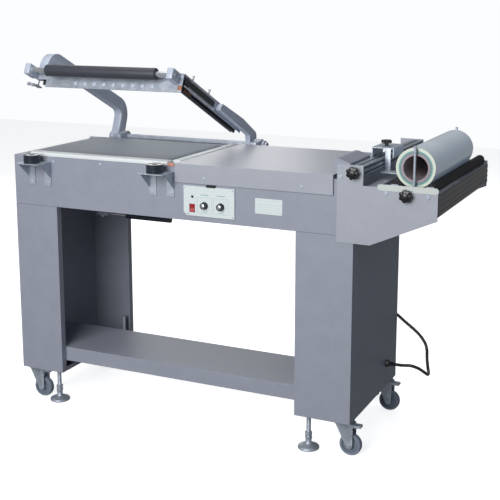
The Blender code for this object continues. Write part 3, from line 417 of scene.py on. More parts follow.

# %% [markdown]
# ## Mains lead
# The lead hangs from its gland, goes through a clip and down behind the leg to a coil on the floor. Its
# hanging part follows listed points, because a stiff cable bends where it is held and a simulation
# wouldn't know the clip. The coil is worked out: one layer wound inwards on the floor and a second wound
# outwards on top, so that the end comes free on the outside.

# %% Lead
# The lead's radius, the height of its middle where it lies, how far a second layer lies above the first,
# and the middle of the coil.
LEAD = 0.0055
FLOOR = LEAD + 0.0002
LAYER = 0.0113
COIL = spot(1.090, 0.585, 0)
ROUTE = [
    (1.3189, 0.3750, 0.2090), (1.3340, 0.3750, 0.2090), (1.3500, 0.3745, 0.2105), (1.3740, 0.3755, 0.2125),
    (1.4000, 0.3825, 0.2040), (1.4165, 0.3970, 0.1880), (1.4220, 0.4205, 0.1730), (1.4180, 0.4475, 0.1695),
    (1.4080, 0.4730, 0.1805), (1.3990, 0.4915, 0.2080), (1.3965, 0.4960, 0.2360), (1.3865, 0.5020, 0.2595),
    (1.3660, 0.5050, 0.2840), (1.3415, 0.5070, 0.3035), (1.3095, 0.5095, 0.3250), (1.2755, 0.5115, 0.3490),
    (1.2485, 0.5160, 0.3570), (1.2240, 0.5185, 0.3510), (1.2055, 0.5185, 0.3340), (1.1975, 0.5185, 0.3085),
    (1.1935, 0.5185, 0.2595), (1.1930, 0.5185, 0.2000), (1.1930, 0.5185, 0.1400), (1.1930, 0.5190, 0.0950),
    (1.1930, 0.5260, 0.0490), (1.1925, 0.5500, 0.0180), (1.1900, 0.5850, FLOOR), (1.1760, 0.6180, FLOOR),
    (1.1530, 0.6460, FLOOR), (1.1240, 0.6640, FLOOR),
]


def curve_through(points, spacing):
    """Catmull-Rom: 0.5 * (2b + (c - a) t + (2a - 5b + 4c - d) t^2 + (3b - a - 3c + d) t^3), evened out."""
    nodes = np.array(points, float)
    nodes = np.vstack([2 * nodes[0] - nodes[1], nodes, 2 * nodes[-1] - nodes[-2]])
    t = (np.arange(20) / 20)[None, :, None]
    a, b, c, d = (nodes[i : len(nodes) - 3 + i][:, None, :] for i in range(4))
    fine = 0.5 * (2 * b + (c - a) * t + (2 * a - 5 * b + 4 * c - d) * t**2 + (3 * b - a - 3 * c + d) * t**3)
    return evened(np.vstack([fine.reshape(-1, 3), nodes[-2]]), spacing)


def evened(fine, spacing):
    """The same line with points at equal distances."""
    far = np.concatenate([[0], np.cumsum(np.linalg.norm(np.diff(fine, axis=0), axis=1))])
    wanted = np.linspace(0, far[-1], round(far[-1] / spacing) + 1)
    return np.column_stack([np.interp(wanted, far, fine[:, k]) for k in range(3)])


# Turn number against the ring's radius and height: in along the floor, up by one layer in half a turn with
# 3 t^2 - 2 t^3, and out on top.
turns = np.linspace(0.04, 5, 420)
radii = np.interp(turns, (0, 0.25, 2.5, 3, 5), (0.084, 0.0765, 0.0465, 0.0465, 0.0710))
rise = np.clip((turns - 2.5) / 0.5, 0, 1)
heights = FLOOR + LAYER * rise**2 * (3 - 2 * rise)
bearing_angle = np.pi / 2 + 2 * np.pi * turns
coil_line = np.column_stack([radii * np.cos(bearing_angle), radii * np.sin(bearing_angle), heights]) + COIL
tail = COIL + np.array([[-0.02, 0.0710, 0.0172], [-0.0432, 0.0710, 0.0175]])
head = np.array([spot(*point) for point in ROUTE])
lead_line = curve_through(np.vstack([head, coil_line[::3], tail]), 0.006)

lead_curve = bpy.data.curves.new("mains_lead", "CURVE")
lead_curve.dimensions = "3D"
lead_curve.bevel_depth = LEAD
lead_curve.bevel_resolution = 4
lead_curve.use_fill_caps = True
strand = lead_curve.splines.new("POLY")
strand.points.add(len(lead_line) - 1)
strand.points.foreach_set("co", np.column_stack([lead_line, np.ones(len(lead_line))]).ravel())
strand.use_smooth = True
lead_curve.materials.append(cable_sheath)
lead = bpy.data.objects.new("mains_lead", lead_curve)
bpy.context.scene.collection.objects.link(lead)
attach(lead, "frame")
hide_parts("cord", "cord_coil")

# %% [markdown]
# ## Plug, gland and tie
# The plug is one moulding with a straight ribbed neck and two bare pins. The gland is a
# nut with grip flats and a ribbed sleeve. Both are round, so both are turned: a nut is only a lathe part with
# six sides, and ribs are a radius that steps in and out. A short strap keeps the coil together.

# %% Plug and gland
plug_low, plug_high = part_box("plug")
plug_y, plug_z = (plug_low.y + plug_high.y) / 2, (plug_low.z + plug_high.z) / 2
PLUG_LENGTH, RIB, RIB_PITCH = 0.062, 0.0009, 0.0027
neck_ribs = [(0.0062 + RIB * (k % 2) + 0.0022 * k / 8, 0.0006 + RIB_PITCH * k) for k in range(9)]
plug_profile = [(0.0058, 0.0)] + neck_ribs + [
    (0.0125, 0.026), (0.0158, 0.031), (0.0172, 0.036), (0.0172, 0.058), (0.0168, PLUG_LENGTH - 0.0012),
    (0.0150, PLUG_LENGTH), (0.002, PLUG_LENGTH),
]
plug_shape = lathe(plug_profile, (plug_high.x, plug_y, plug_z), "-x", 48)
plug = piece("mains_plug", *plug_shape, black_moulding, "frame", ["plug"])
pin_profile = [(0.0024, -0.002), (0.0024, 0.0165), (0.0018, 0.0185), (0.0006, 0.019)]
pins = together(*[
    lathe(pin_profile, (plug_high.x - PLUG_LENGTH, plug_y + side * 0.0095, plug_z), "-x", 20)
    for side in (-1, 1)
])
plug_pins = piece("plug_pins", *pins, chrome, "frame")
gland_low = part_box("cord_gland")[0]
gland_middle = sum(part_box("cord_gland"), Vector()) / 2
gland_foot = (gland_low.x, gland_middle.y, gland_middle.z)
gland_nut = lathe([(0.0115, 0), (0.0130, 0.0008), (0.0130, 0.0095), (0.0118, 0.0112), (0.0080, 0.0118)],
                  gland_foot, "x", 6)
sleeve = [(0.0092 - 0.0026 * k / 14 - RIB * (k % 2), 0.0112 + 0.0226 * k / 14) for k in range(15)]
gland_sleeve = lathe(sleeve, gland_foot, "x", 32)
gland = piece("lead_gland", *together(gland_nut, gland_sleeve), black_moulding, "frame", ["cord_gland"])


def strap(centre, angle, width, height, breadth):
    """A band round the coil's bundle: a rounded loop in the radial plane, carried along the turn."""
    out = np.array([math.cos(angle), math.sin(angle), 0.0])
    along = np.array([-out[1], out[0], 0.0])
    loops = []
    for swell, shift in ((0.0, -0.5), (0.0, 0.5), (0.0014, 0.5), (0.0014, -0.5)):
        outline = rounded(width + 2 * swell, height + 2 * swell, 0.006, 8)
        upright = outline[:, 1:] * np.array([0, 0, 1.0])
        loops.append(centre + outline[:, :1] * out + upright + shift * breadth * along)
    return ring(np.array(loops))


tie_angle = math.radians(200)
tie_at = COIL + 0.059 * np.array([math.cos(tie_angle), math.sin(tie_angle), 0]) + np.array([0, 0, 0.0131])
tie = piece("coil_tie", *strap(tie_at, tie_angle, 0.0355, 0.0232, 0.012), rubber, "frame")
print("plug, gland and tie made; the tie is at", np.round(tie_at, 3).tolist())

# %% [markdown]
# ## Folded sheet and bars
# The CAD pieces have the right shape but knife-sharp edges, which no real sheet has. A sharp edge catches no
# light, and the machine would look like a drawing. Each piece is copied, its loose triangles are merged back
# to flat faces, and a Bevel modifier gives its edges the small radius of a press brake. A modifier is used
# because it finds the edges by their angle, so a change in the CAD needs no new edges picked here.

# %% Round the CAD pieces
MERGE, FLAT_DEGREES = 0.00001, 0.6


def clad(node, material, body, bevel=0.0008):
    """A copy of a CAD node: points merged, coplanar triangles joined, and sharp edges rounded."""
    source = frame["nodes"][node].data
    bm = bmesh.new()
    bm.from_mesh(source)
    bmesh.ops.remove_doubles(bm, verts=bm.verts, dist=MERGE)
    bmesh.ops.dissolve_limit(bm, angle_limit=math.radians(FLAT_DEGREES), verts=bm.verts, edges=bm.edges)
    mesh = bpy.data.meshes.new(node + "_dressed")
    bm.to_mesh(mesh)
    bm.free()
    return dress(node + "_dressed", mesh, material, body, [node], bevel)


BODY_OF = {node: body for body, nodes in frame["record"]["behaviour"]["bodies"].items() for node in nodes}
# Each CAD piece with its finish and the radius of its edges. A 0 leaves the edges as they are.
SHEETS = {
    "main_body": (powder_coat, 0.0014), "left_leg": (powder_coat, 0.0014), "right_leg": (powder_coat, 0.0014),
    "lower_shelf": (powder_coat, 0.0014), "film_tray": (painted_top_light_coat, 0.0009), "film_stand": (painted_top_light_coat, 0.0006),
    "film_hood": (powder_coat, 0.0010), "conveyor_belt": (belt_cloth, 0.0005),
    "front_seal_pad": (silicone, 0), "side_seal_pad": (silicone, 0),
    "left_magnet_bracket": (zinc, 0.0006), "right_magnet_bracket": (zinc, 0.0006),
    "front_bar": (zinc, 0.0008), "side_bar": (zinc, 0.0008), "seal_blade": (blade_coating, 0.0008),
    "left_end_block": (aluminium, 0), "right_end_block": (aluminium, 0),
    "left_support_arm": (aluminium, 0), "right_support_arm": (aluminium, 0.0010),
    "left_bearing": (zinc, 0.0010), "right_bearing": (zinc, 0.0010), "pivot_shaft": (zinc, 0.0008),
    "spring_cylinder": (enamel, 0.0008), "spring_rod": (chrome, 0.0005),
    "slotted_rail": (drawn_aluminium, 0.0005), "film_punch": (zinc, 0.0006),
    "front_stop": (zinc, 0.0004), "rear_stop": (zinc, 0.0004),
    "drive_roller": (aluminium, 0.0008), "idler_roller": (aluminium, 0.0008),
    "left_film_roller": (rubber, 0.0008), "right_film_roller": (rubber, 0.0008),
    "control_panel": (overlay, 0.0008), "power_switch": (red_plastic, 0.0008), "handle_rod": (chrome, 0.0006),
}
for node, (material, bevel) in SHEETS.items():
    clad(node, material, BODY_OF[node], bevel)
for end in ("front", "rear"):
    for side in ("left", "right"):
        node = f"{end}_{side}_caster_fork"
        clad(node, zinc, BODY_OF[node], 0.0008)

# %% [markdown]
# ## Screws
# A pan-head screw is a low dome with a cross sunk into it. Cutting the cross with a Boolean would cost a
# mesh repair for every screw. The height over the disc can be written down instead, as a function of the
# radius and the angle: the dome minus a groove that is deep near the two arms of the cross.

# %% Screw heads
def screw_head(centre, axis, radius=0.0045, height=0.0026):
    """Height = h * sqrt(1 - 0.8 (r/R)^2) less a cross whose depth fades with the distance from its arms."""
    along, e1, e2 = AXES[axis]
    reach = radius * np.array([1.0, 1.0, 0.96, 0.86, 0.70, 0.54, 0.40, 0.26, 0.14, 0.04])
    turn = np.linspace(0, 2 * np.pi, 40, endpoint=False)
    dome = height * np.sqrt(1 - 0.8 * (reach / radius) ** 2)
    dome[0] = -0.0008
    across = reach[:, None] * np.abs(np.sin(2 * turn))[None, :] / 2
    inside = (reach < 0.66 * radius)[:, None]
    groove = 0.6 * height * np.clip(1 - across / (0.16 * radius), 0, 1) * inside
    rows = (
        np.asarray(centre, float)
        + (dome[:, None] - groove)[..., None] * along
        + (reach[:, None] * np.cos(turn))[..., None] * e1
        + (reach[:, None] * np.sin(turn))[..., None] * e2
    )
    return solid(rows)


stand_face = float(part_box("film_stand")[0].y)
front_screws = [spot(0.169, 0, 0.9035), spot(0.364, 0, 0.908)]
lip_screws = [spot(0.768, -0.006, 0.889), spot(1.113, -0.006, 0.888)]
stand_screws = [np.array([spot(x, 0, z)[0], stand_face, z])
                for x, z in ((1.2400, 0.928), (1.3878, 0.8888), (1.5170, 0.8862))]
tab_screws = [spot(x + side * 0.034, -0.0033, 0.829) for x in (0.111, 0.606) for side in (-1, 1)]
small_places = front_screws + lip_screws + tab_screws
screws = together(*[screw_head(place, "-y") for place in small_places],
                  *[screw_head(place, "-y", 0.0066, 0.0036) for place in stand_screws])
piece("face_screws", *screws, aluminium, "frame")
panel_low, panel_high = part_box("control_panel")
panel_screws = [
    screw_head((x, panel_low.y, z), "-y", 0.0025, 0.0012)
    for x, z in ((panel_low.x + 0.006, panel_high.z - 0.006), (panel_high.x - 0.006, panel_high.z - 0.006),
                 (panel_high.x - 0.006, panel_low.z + 0.006), (panel_low.x + 0.017, panel_low.z + 0.006))
]
piece("panel_screws", *together(*panel_screws), zinc, "frame")
print(len(screws[0]), "points in the face screws")

# %% [markdown]
# ## Control panel
# The overlay is printed with a frame and a fan of scale marks round each knob. Printing could be a picture
# laid on the sheet, but a picture blurs close up. The marks are thin plates a tenth of a millimetre proud, so
# they stay crisp. There is no lettering.

# %% Printed marks
def plate(centre_x, centre_z, width, height, depth=0.0001, turn=0.0):
    """A thin plate on the panel's face, turned in the plane of the panel."""
    outline = rounded(width, height, min(width, height) * 0.3, 3)
    c, s = math.cos(turn), math.sin(turn)
    outline = outline @ np.array([[c, s], [-s, c]])
    face = panel_low.y
    return bar(outline, (centre_x, face + 0.0002, centre_z), (centre_x, face - depth, centre_z))


# The radius of the ring of scale marks, and half the width of the printed frame.
SCALE_RING, FRAME_HALF = 0.0172, 0.0265
MARK_COUNT, FIRST_MARK, MARK_STEP = 11, 225, 27
marks = []
knob_centres = {}
for node in ("time_knob", "temperature_knob"):
    low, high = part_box(node)
    x, z = (low.x + high.x) / 2, (low.z + high.z) / 2
    knob_centres[node] = (x, z)
    for step in range(MARK_COUNT):
        angle = math.radians(FIRST_MARK - MARK_STEP * step)
        mark_x, mark_z = x + SCALE_RING * math.cos(angle), z + SCALE_RING * math.sin(angle)
        marks.append(plate(mark_x, mark_z, 0.0032, 0.0008, turn=angle))
    for side in (-1, 1):
        marks.append(plate(x + side * FRAME_HALF, z, 0.0008, 2 * FRAME_HALF))
        marks.append(plate(x, z + side * FRAME_HALF, 2 * FRAME_HALF, 0.0008))
    marks.append(plate(x, z + 0.035, 0.030, 0.0030))
    marks.append(plate(x, z - 0.0215, 0.024, 0.0016))
piece("panel_marks", *together(*marks), print_ink, "frame")
print(len(marks), "printed marks")

# %% Lamp, blank plate and catch
lamp_at = spot(0.724, 0, 0.8256)
lamp = lathe([(0.0046, 0.0002), (0.0046, 0.0012), (0.0038, 0.0018), (0.0034, 0.0012), (0.0030, 0.0026),
              (0.0018, 0.0036), (0.0003, 0.0039)], (lamp_at[0], panel_low.y, lamp_at[2]), "-y", 32)
piece("pilot_lamp", *lamp, enamel, "frame")
PLATE_X, PLATE_Z = 0.9975, 0.8133
name_plate = bar(rounded(0.095, 0.0505, 0.003),
                 spot(PLATE_X, 0.0004, PLATE_Z), spot(PLATE_X, -0.0008, PLATE_Z))
piece("blank_plate", *name_plate, overlay, "frame")
ruled_line = block((-0.042, 0, -0.0003), (0.042, 0.0002, 0.0003))
rules = [shifted(ruled_line, *spot(PLATE_X, -0.00095, PLATE_Z + height))
         for height in (-0.018, -0.010, -0.002, 0.006, 0.018)]
piece("plate_rules", *together(*rules), print_ink, "frame")
catch = block(spot(0.7765, -0.0095, 0.8600), spot(0.8085, -0.0002, 0.8680))
piece("lip_catch", *catch, black_moulding, "frame", bevel=0.0015)
print(len(rules), "ruled lines on the blank plate")

# %% [markdown]
# ## Setting knobs
# The time and heat knobs are mouldings with fine flutes and a metal cap. Flutes could be cut one by one, but
# a radius that swings 24 times a turn gives them all at once. The cap and its pointer turn with the knob,
# so they ride on the knob's own body.

# %% Knobs
for node, (x, z) in knob_centres.items():
    low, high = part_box(node)
    base = (x, high.y, z)
    skirt = lathe([(0.0112, 0), (0.0125, 0.0004), (0.0125, 0.0025), (0.0112, 0.0036), (0.0106, 0.0145),
                   (0.0098, 0.0158), (0.0080, 0.0160), (0.0076, 0.0154), (0.0004, 0.0154)],
                  base, "-y", 96, 24, 0.00035)
    piece(node + "_grip", *skirt, black_moulding, node, [node])
    cap = lathe([(0.0073, 0.0150), (0.0073, 0.0158), (0.0066, 0.0163), (0.0004, 0.0165)], base, "-y", 40)
    pointer = shifted(block((-0.0005, -0.0004, 0.0062), (0.0005, 0.0004, 0.0108)), x, high.y - 0.0160, z)
    piece(node + "_cap", *together(cap, pointer), chrome, node)
print("knobs at", {k: np.round(v, 4).tolist() for k, v in knob_centres.items()})

# %% [markdown]
# ## Clamping knobs and magnets
# A star knob is a moulding with a wavy rim, so a hand can pinch it. It is a lathe part whose radius swings
# six or seven times a turn. A pot magnet is an enamelled cup with a shallow ring in its face and a hole for
# its screw: it holds the hot bar down while the film is welded.

# %% Star knobs and magnets
STAR = [(0.0085, 0.0003), (0.0090, 0.0006), (0.0090, 0.0085), (0.0150, 0.0092), (0.0186, 0.0108),
        (0.0195, 0.0135), (0.0195, 0.0175), (0.0184, 0.0198), (0.0150, 0.0212), (0.0112, 0.0220),
        (0.0108, 0.0236), (0.0088, 0.0249), (0.0050, 0.0256), (0.0004, 0.0258)]
for node in ("rail_clamp_knob", "stop_clamp_knob"):
    low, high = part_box(node)
    star = lathe(STAR, ((low.x + high.x) / 2, high.y, (low.z + high.z) / 2), "-y", 84, 7, 0.0017)
    piece(node + "_star", *star, black_moulding, node, [node])
low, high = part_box("punch_knob")
star = lathe([(0.0058, 0.0), (0.0062, 0.0002), (0.0062, 0.0080), (0.0130, 0.0086), (0.0158, 0.0100),
              (0.0160, 0.0160), (0.0140, 0.0184), (0.0060, 0.0188), (0.0004, 0.0186)],
             ((low.x + high.x) / 2, (low.y + high.y) / 2, low.z), "z", 72, 6, 0.0022)
piece("punch_knob_star", *star, black_moulding, "punch_knob", ["punch_knob"])
for side in ("left", "right"):
    low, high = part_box(side + "_magnet")
    tall = high.z - low.z
    cup = lathe([(0.0285, 0), (0.0290, 0.0006), (0.0290, tall - 0.0016), (0.0280, tall - 0.0004),
                 (0.0262, tall), (0.0240, tall), (0.0236, tall - 0.0010), (0.0100, tall - 0.0010),
                 (0.0092, tall - 0.0030), (0.0004, tall - 0.0030)],
                ((low.x + high.x) / 2, (low.y + high.y) / 2, low.z), "z", 72)
    piece(side + "_pot_magnet", *cup, enamel, "frame", [side + "_magnet"])
    print(side, "magnet is", round(1000 * tall, 1), "mm tall")

# %% [markdown]
# ## Film roll
# The end of the film lies loose on the roll, so the outside isn't a true cylinder but a spiral: the radius
# drops by 0.6 mm in one turn and ends in a small step. A lathe can't make that, so the radius is written as
# an array. The core is a cardboard tube, which is turned.

# %% Roll and core
roll_low, roll_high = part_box("film_roll")
turn = np.linspace(0, 2 * np.pi, 129)[:-1]
LOOSE_EDGE, EDGE_ROUND = 0.0006, 0.0008
spiral = OUTER - LOOSE_EDGE * turn / (2 * np.pi)
around = np.stack([np.cos(turn), np.zeros_like(turn), np.sin(turn)], 1)
loops = []
inside = np.full_like(turn, INNER)
for radius, y in ((spiral, roll_low.y + 0.0006), (spiral, roll_high.y - 0.0006),
                  (spiral - EDGE_ROUND, roll_high.y), (inside, roll_high.y), (inside, roll_low.y),
                  (spiral - EDGE_ROUND, roll_low.y)):
    loops.append(np.array([ROLL.x, y, ROLL.z]) + radius[:, None] * around)
points, faces = ring(np.array(loops))
roll = piece("wound_film", points, faces, film, "film_roll", ["film_roll"])
roll.data.materials.append(cut_film)
centres = np.zeros(len(roll.data.polygons) * 3, np.float32)
roll.data.polygons.foreach_get("center", centres)
end_faces = np.abs(centres.reshape(-1, 3)[:, 1] - ROLL.y) > (roll_high.y - roll_low.y) / 2 - 0.0005
roll.data.polygons.foreach_set("material_index", end_faces.astype(np.int32))
wall = INNER - 0.0002
tube_rows = [(wall, 0.0004), (wall, 0.4796), (wall - 0.001, 0.4806), (BORE + 0.001, 0.4806),
             (BORE, 0.4796), (BORE, 0.0004), (BORE + 0.001, -0.0006), (wall - 0.001, -0.0006)]
core = lathe(tube_rows, (ROLL.x, roll_low.y, ROLL.z), "y", 96, closed=True)
piece("paper_core", *core, cardboard, "film_roll")
print("film", round(1000 * (roll_high.y - roll_low.y)), "mm wide and", round(2000 * OUTER), "mm across")

# %% [markdown]
# ## Casters
# A caster wheel is a tyre pressed on a moulded centre. Both are round about the axle, so both are closed
# profiles turned on a lathe: one side of the profile is drawn, and the other is its mirror image.

# %% Casters
HALF_WIDTH = 0.012
TYRE_SIDE = [(0.0285, HALF_WIDTH - 0.0008), (0.0340, HALF_WIDTH), (0.0362, HALF_WIDTH - 0.0030),
             (0.0372, HALF_WIDTH - 0.0060), (0.0375, 0.0020)]
HUB_SIDE = [(0.0280, HALF_WIDTH - 0.0016), (0.0262, HALF_WIDTH - 0.0014), (0.0250, HALF_WIDTH - 0.0046),
            (0.0130, HALF_WIDTH - 0.0046), (0.0115, HALF_WIDTH + 0.0020), (0.0100, HALF_WIDTH + 0.0030),
            (0.0046, HALF_WIDTH + 0.0030)]


def mirrored(side):
    """The same profile on the other side of the wheel's middle, run the other way: (r, -h)."""
    return [(radius, -height) for radius, height in side[::-1]]


tyre_profile = TYRE_SIDE + [(0.0370, 0.0)] + mirrored(TYRE_SIDE) + [(0.0275, 0.0)]
hub_profile = [(0.0280, 0.0)] + HUB_SIDE + mirrored(HUB_SIDE)
for end in ("front", "rear"):
    for side in ("left", "right"):
        node = f"{end}_{side}_caster_wheel"
        low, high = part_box(node)
        middle = ((low.x + high.x) / 2, (low.y + high.y) / 2, (low.z + high.z) / 2)
        tyre = lathe(tyre_profile, middle, "y", 72, closed=True)
        piece(f"{end}_{side}_tyre", *tyre, tyre_rubber, BODY_OF[node], [node])
        hub = lathe(hub_profile, middle, "y", 60, closed=True)
        piece(f"{end}_{side}_hub", *hub, hub_plastic, BODY_OF[node])
        nuts = [lathe([(0.0068, 0.0), (0.0070, 0.0006), (0.0070, 0.0032), (0.0060, 0.0040), (0.0006, 0.0040)],
                      (middle[0], middle[1] + way * 0.0194, middle[2]), "y" if way > 0 else "-y", 6)
                for way in (-1, 1)]
        piece(f"{end}_{side}_axle_nuts", *together(*nuts), zinc, f"{end}_{side}_caster")
print("wheels", round(2000 * TYRE_SIDE[-1][0]), "mm across")

# %% [markdown]
# ## Levelling feet
# A levelling foot is a pressed pad on a threaded rod with two nuts. A thread could be a Screw modifier, but
# its ends would need closing by hand. Its radius is a function of both the height and the angle instead,
# which winds once a pitch, and the ends are flat sections of the same grid.

# %% Feet
PAD_PROFILE = [(0.0345, 0.0), (0.0360, 0.0014), (0.0360, 0.0060), (0.0345, 0.0084), (0.0300, 0.0106),
               (0.0200, 0.0142), (0.0130, 0.0176), (0.0108, 0.0215), (0.0100, 0.0300), (0.0070, 0.0330)]


def threaded(centre, radius, low, high, pitch=0.004, depth=0.0006):
    """r = radius - depth + depth * cos(2 pi h / pitch - a), a screw thread with rounded crests."""
    height = np.arange(low, high, pitch / 6)
    turn = np.linspace(0, 2 * np.pi, 24, endpoint=False)
    reach = radius - depth + depth * np.cos(2 * np.pi * height[:, None] / pitch - turn[None, :])
    rows = np.stack([reach * np.cos(turn), reach * np.sin(turn), height[:, None] + 0 * turn], 2)
    return solid(rows + np.asarray(centre, float))


for end in ("front", "rear"):
    for side in ("left", "right"):
        node = f"{end}_{side}_foot"
        low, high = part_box(node)
        base = ((low.x + high.x) / 2, (low.y + high.y) / 2, low.z)
        pad = lathe(PAD_PROFILE, base, "z", 60)
        nuts = [lathe([(0.0118, b), (0.0130, b + 0.0012), (0.0130, b + 0.0088), (0.0118, b + 0.0100)],
                      base, "z", 6) for b in (0.0335, 0.0475)]
        rod = threaded(base, 0.0080, 0.0300, high.z - low.z)
        piece(node + "_levelling", *together(pad, *nuts, rod), zinc, BODY_OF[node], [node])
print("foot rods are", round(1000 * (high.z - low.z)), "mm tall")

# %% [markdown]
# ## Sealing arm
# The arm carries the hot bar, its handle and a tensioner that keeps the blade straight as it grows with
# heat. It stands open here, at an angle where nothing is square. So its details are placed as if it were
# closed, where their places are simple, and are then swung up about its shaft by one rotation.

# %% Arm details
shaft_low, shaft_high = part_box("pivot_shaft")
PIVOT = np.array([0.0, (shaft_low.y + shaft_high.y) / 2, (shaft_low.z + shaft_high.z) / 2])
OPEN = -math.radians(25.3)
BAR_LEFT, BAR_RIGHT = 0.0530, 0.6570
GRIP_LEFT, GRIP_RIGHT = 0.133, 0.574
GRIP_RADIUS, ROD_RADIUS, GRIP_ROUND = 0.0205, 0.0098, 0.003


def swung(shape):
    """Rotates a shape about the shaft: y' = y cos - z sin and z' = y sin + z cos."""
    points, faces = shape
    turned = (points - PIVOT) @ np.array(Matrix.Rotation(OPEN, 3, "X")).T + PIVOT
    return turned, faces


def arm_piece(name, shape, material, replaces=()):
    """A piece placed on the closed arm, swung up and riding on it."""
    return piece(name, *swung(shape), material, "sealing_arm", replaces)


bar_face = spot(0, -0.008, 0)[1]
bosses = [lathe([(0.0078, -0.0005), (0.0078, 0.0014), (0.0066, 0.0030), (0.0038, 0.0038), (0.0004, 0.0040)],
                (spot(0.238 + 0.0385 * k, 0, 0)[0], bar_face, 0.9345), "-y", 28) for k in range(9)]
arm_piece("bar_screw_row", together(*bosses), aluminium)
angle_strip = shifted(block((0, 0, 0), (0.585, 0.0016, 0.0130)), *spot(0.0725, -0.0098, 0.967))
arm_piece("bar_top_strip", angle_strip, aluminium)

# %% Grip
# The grip's ends are quarter circles: (R - c + c sin t, c (1 - cos t)) and its mirror image.
grip_length = GRIP_RIGHT - GRIP_LEFT
inner = GRIP_RADIUS - GRIP_ROUND
quarter = np.linspace(0, np.pi / 2, 8)
grip_profile = [(ROD_RADIUS, 0.0)]
grip_profile += [(inner + GRIP_ROUND * math.sin(t), GRIP_ROUND * (1 - math.cos(t))) for t in quarter]
grip_profile += [(inner + GRIP_ROUND * math.cos(t), grip_length - GRIP_ROUND * (1 - math.sin(t)))
                 for t in quarter]
grip_profile += [(ROD_RADIUS, grip_length)]
grip = lathe(grip_profile, spot(GRIP_LEFT, -0.045, 0.966), "x", 72, closed=True)
arm_piece("foam_grip", grip, foam, ["handle_grip"])
print("grip", round(1000 * grip_length), "mm long")

# %% Pins, copper end and tensioner
side_pins = []
for y in (0.087, 0.2165):
    foot = spot(0.640, y, 0.984)
    side_pins.append(lathe([(0.0030, 0), (0.0030, 0.0180), (0.0022, 0.0190), (0.0020, 0.0215),
                            (0.0038, 0.0235), (0.0046, 0.0262), (0.0040, 0.0290), (0.0022, 0.0305),
                            (0.0004, 0.0308)], foot, "z", 28))
arm_piece("side_bar_pins", together(*side_pins), chrome)
corner_plate = block(spot(0.6430, -0.0092, 0.926), spot(BAR_RIGHT, -0.0080, 0.941))
blade_end = block(spot(0.632, 0.030, 0.938), spot(0.648, 0.082, 0.946))
arm_piece("copper_corner", together(corner_plate, blade_end), copper)
tension = [
    block(spot(BAR_LEFT, -0.006, 0.9250), spot(0.0720, 0.030, 0.9285)),
    block(spot(BAR_LEFT, 0.026, 0.9250), spot(0.0560, 0.030, 0.9520)),
    lathe([(0.0032, 0), (0.0032, 0.016), (0.0058, 0.018), (0.0068, 0.0225), (0.0060, 0.027), (0.0034, 0.0295),
           (0.0004, 0.030)], spot(BAR_LEFT, 0.006, 0.9320), "-x", 28),
    lathe([(0.0024, 0), (0.0024, 0.021), (0.0008, 0.022)], spot(BAR_LEFT, 0.020, 0.9300), "-x", 20),
]
arm_piece("blade_tensioner", together(*tension), zinc)
print(len(tension), "parts in the tensioner")

# %% Block screws, side bar trims and collars
for side, x in (("left", 0.0488), ("right", 0.6447)):
    way = "-x" if side == "left" else "x"
    heads = [lathe([(0.0052, -0.0005), (0.0052, 0.0030), (0.0044, 0.0038), (0.0024, 0.0038), (0.0022, 0.0016),
                    (0.0004, 0.0016)], spot(x, -0.045 + 0.022 * k, 0.966), way, 24) for k in range(2)]
    arm_piece(side + "_block_screws", together(*heads), zinc)
SIDE_FACE = 0.6600
lips = [block(spot(SIDE_FACE, 0.000, z), spot(SIDE_FACE + 0.0022, 0.235, z + 0.0050))
        for z in (0.9785, 0.9420)]
arm_piece("side_bar_lips", together(*lips), chrome)
slot_strip = block(spot(SIDE_FACE, 0.004, 0.9530), spot(SIDE_FACE + 0.0012, 0.232, 0.9740))
arm_piece("side_bar_heater_cover", slot_strip, blade_coating)
collars = [lathe([(0.0128, 0), (0.0180, 0.0004), (0.0190, 0.0014), (0.0190, 0.0086), (0.0180, 0.0096),
                  (0.0128, 0.0100)], spot(x, 0.560, 0.923), "x", 48) for x in (0.0520, 0.7235)]
arm_piece("shaft_collars", together(*collars), zinc)
print("arm swung", round(math.degrees(OPEN), 1), "degrees about", np.round(PIVOT[1:], 3).tolist())

# %% [markdown]
# ## Small things on the frame
# The nylon strip saves the film from the sheet's edge, the soft corner pad takes the end of the hot
# blade, the nuts fix the balance spring and the clip holds the lead to the leg. These are small and mostly
# drawn or turned, so they need no finer modelling, but each sits where it would be fitted by hand.

# %% Frame details
strip_at = np.array([spot(1.4545, 0, 0)[0], stand_face, 0.9060])
strip = bar(rounded(0.190, 0.019, 0.0090, 8), strip_at + (0, 0.0002, 0), strip_at - (0, 0.0022, 0))
piece("nylon_strip", *strip, nylon, "frame")
soft_corner = block(spot(0.630, -0.0030, 0.9205), spot(0.6550, 0.0002, 0.9325))
piece("corner_pad", *soft_corner, salmon, "frame", bevel=0.0008)
rod_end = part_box("spring_rod")[0].x
rod_middle = sum(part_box("spring_rod"), Vector()) / 2
nut_rows = [(0.0078, 0), (0.0086, 0.0008), (0.0086, 0.0062), (0.0078, 0.0070)]
nuts = [lathe(nut_rows, (rod_end + 0.030 + gap, rod_middle.y, rod_middle.z), "x", 6) for gap in (0.0, 0.0095)]
washer = lathe([(0.0130, 0), (0.0140, 0.0005), (0.0140, 0.0025), (0.0130, 0.0030)],
               (rod_end + 0.0265, rod_middle.y, rod_middle.z), "x", 36)
piece("spring_nuts", *together(*nuts, washer), zinc, "spring_rod")
print("spring rod's middle", np.round(rod_middle, 3).tolist())

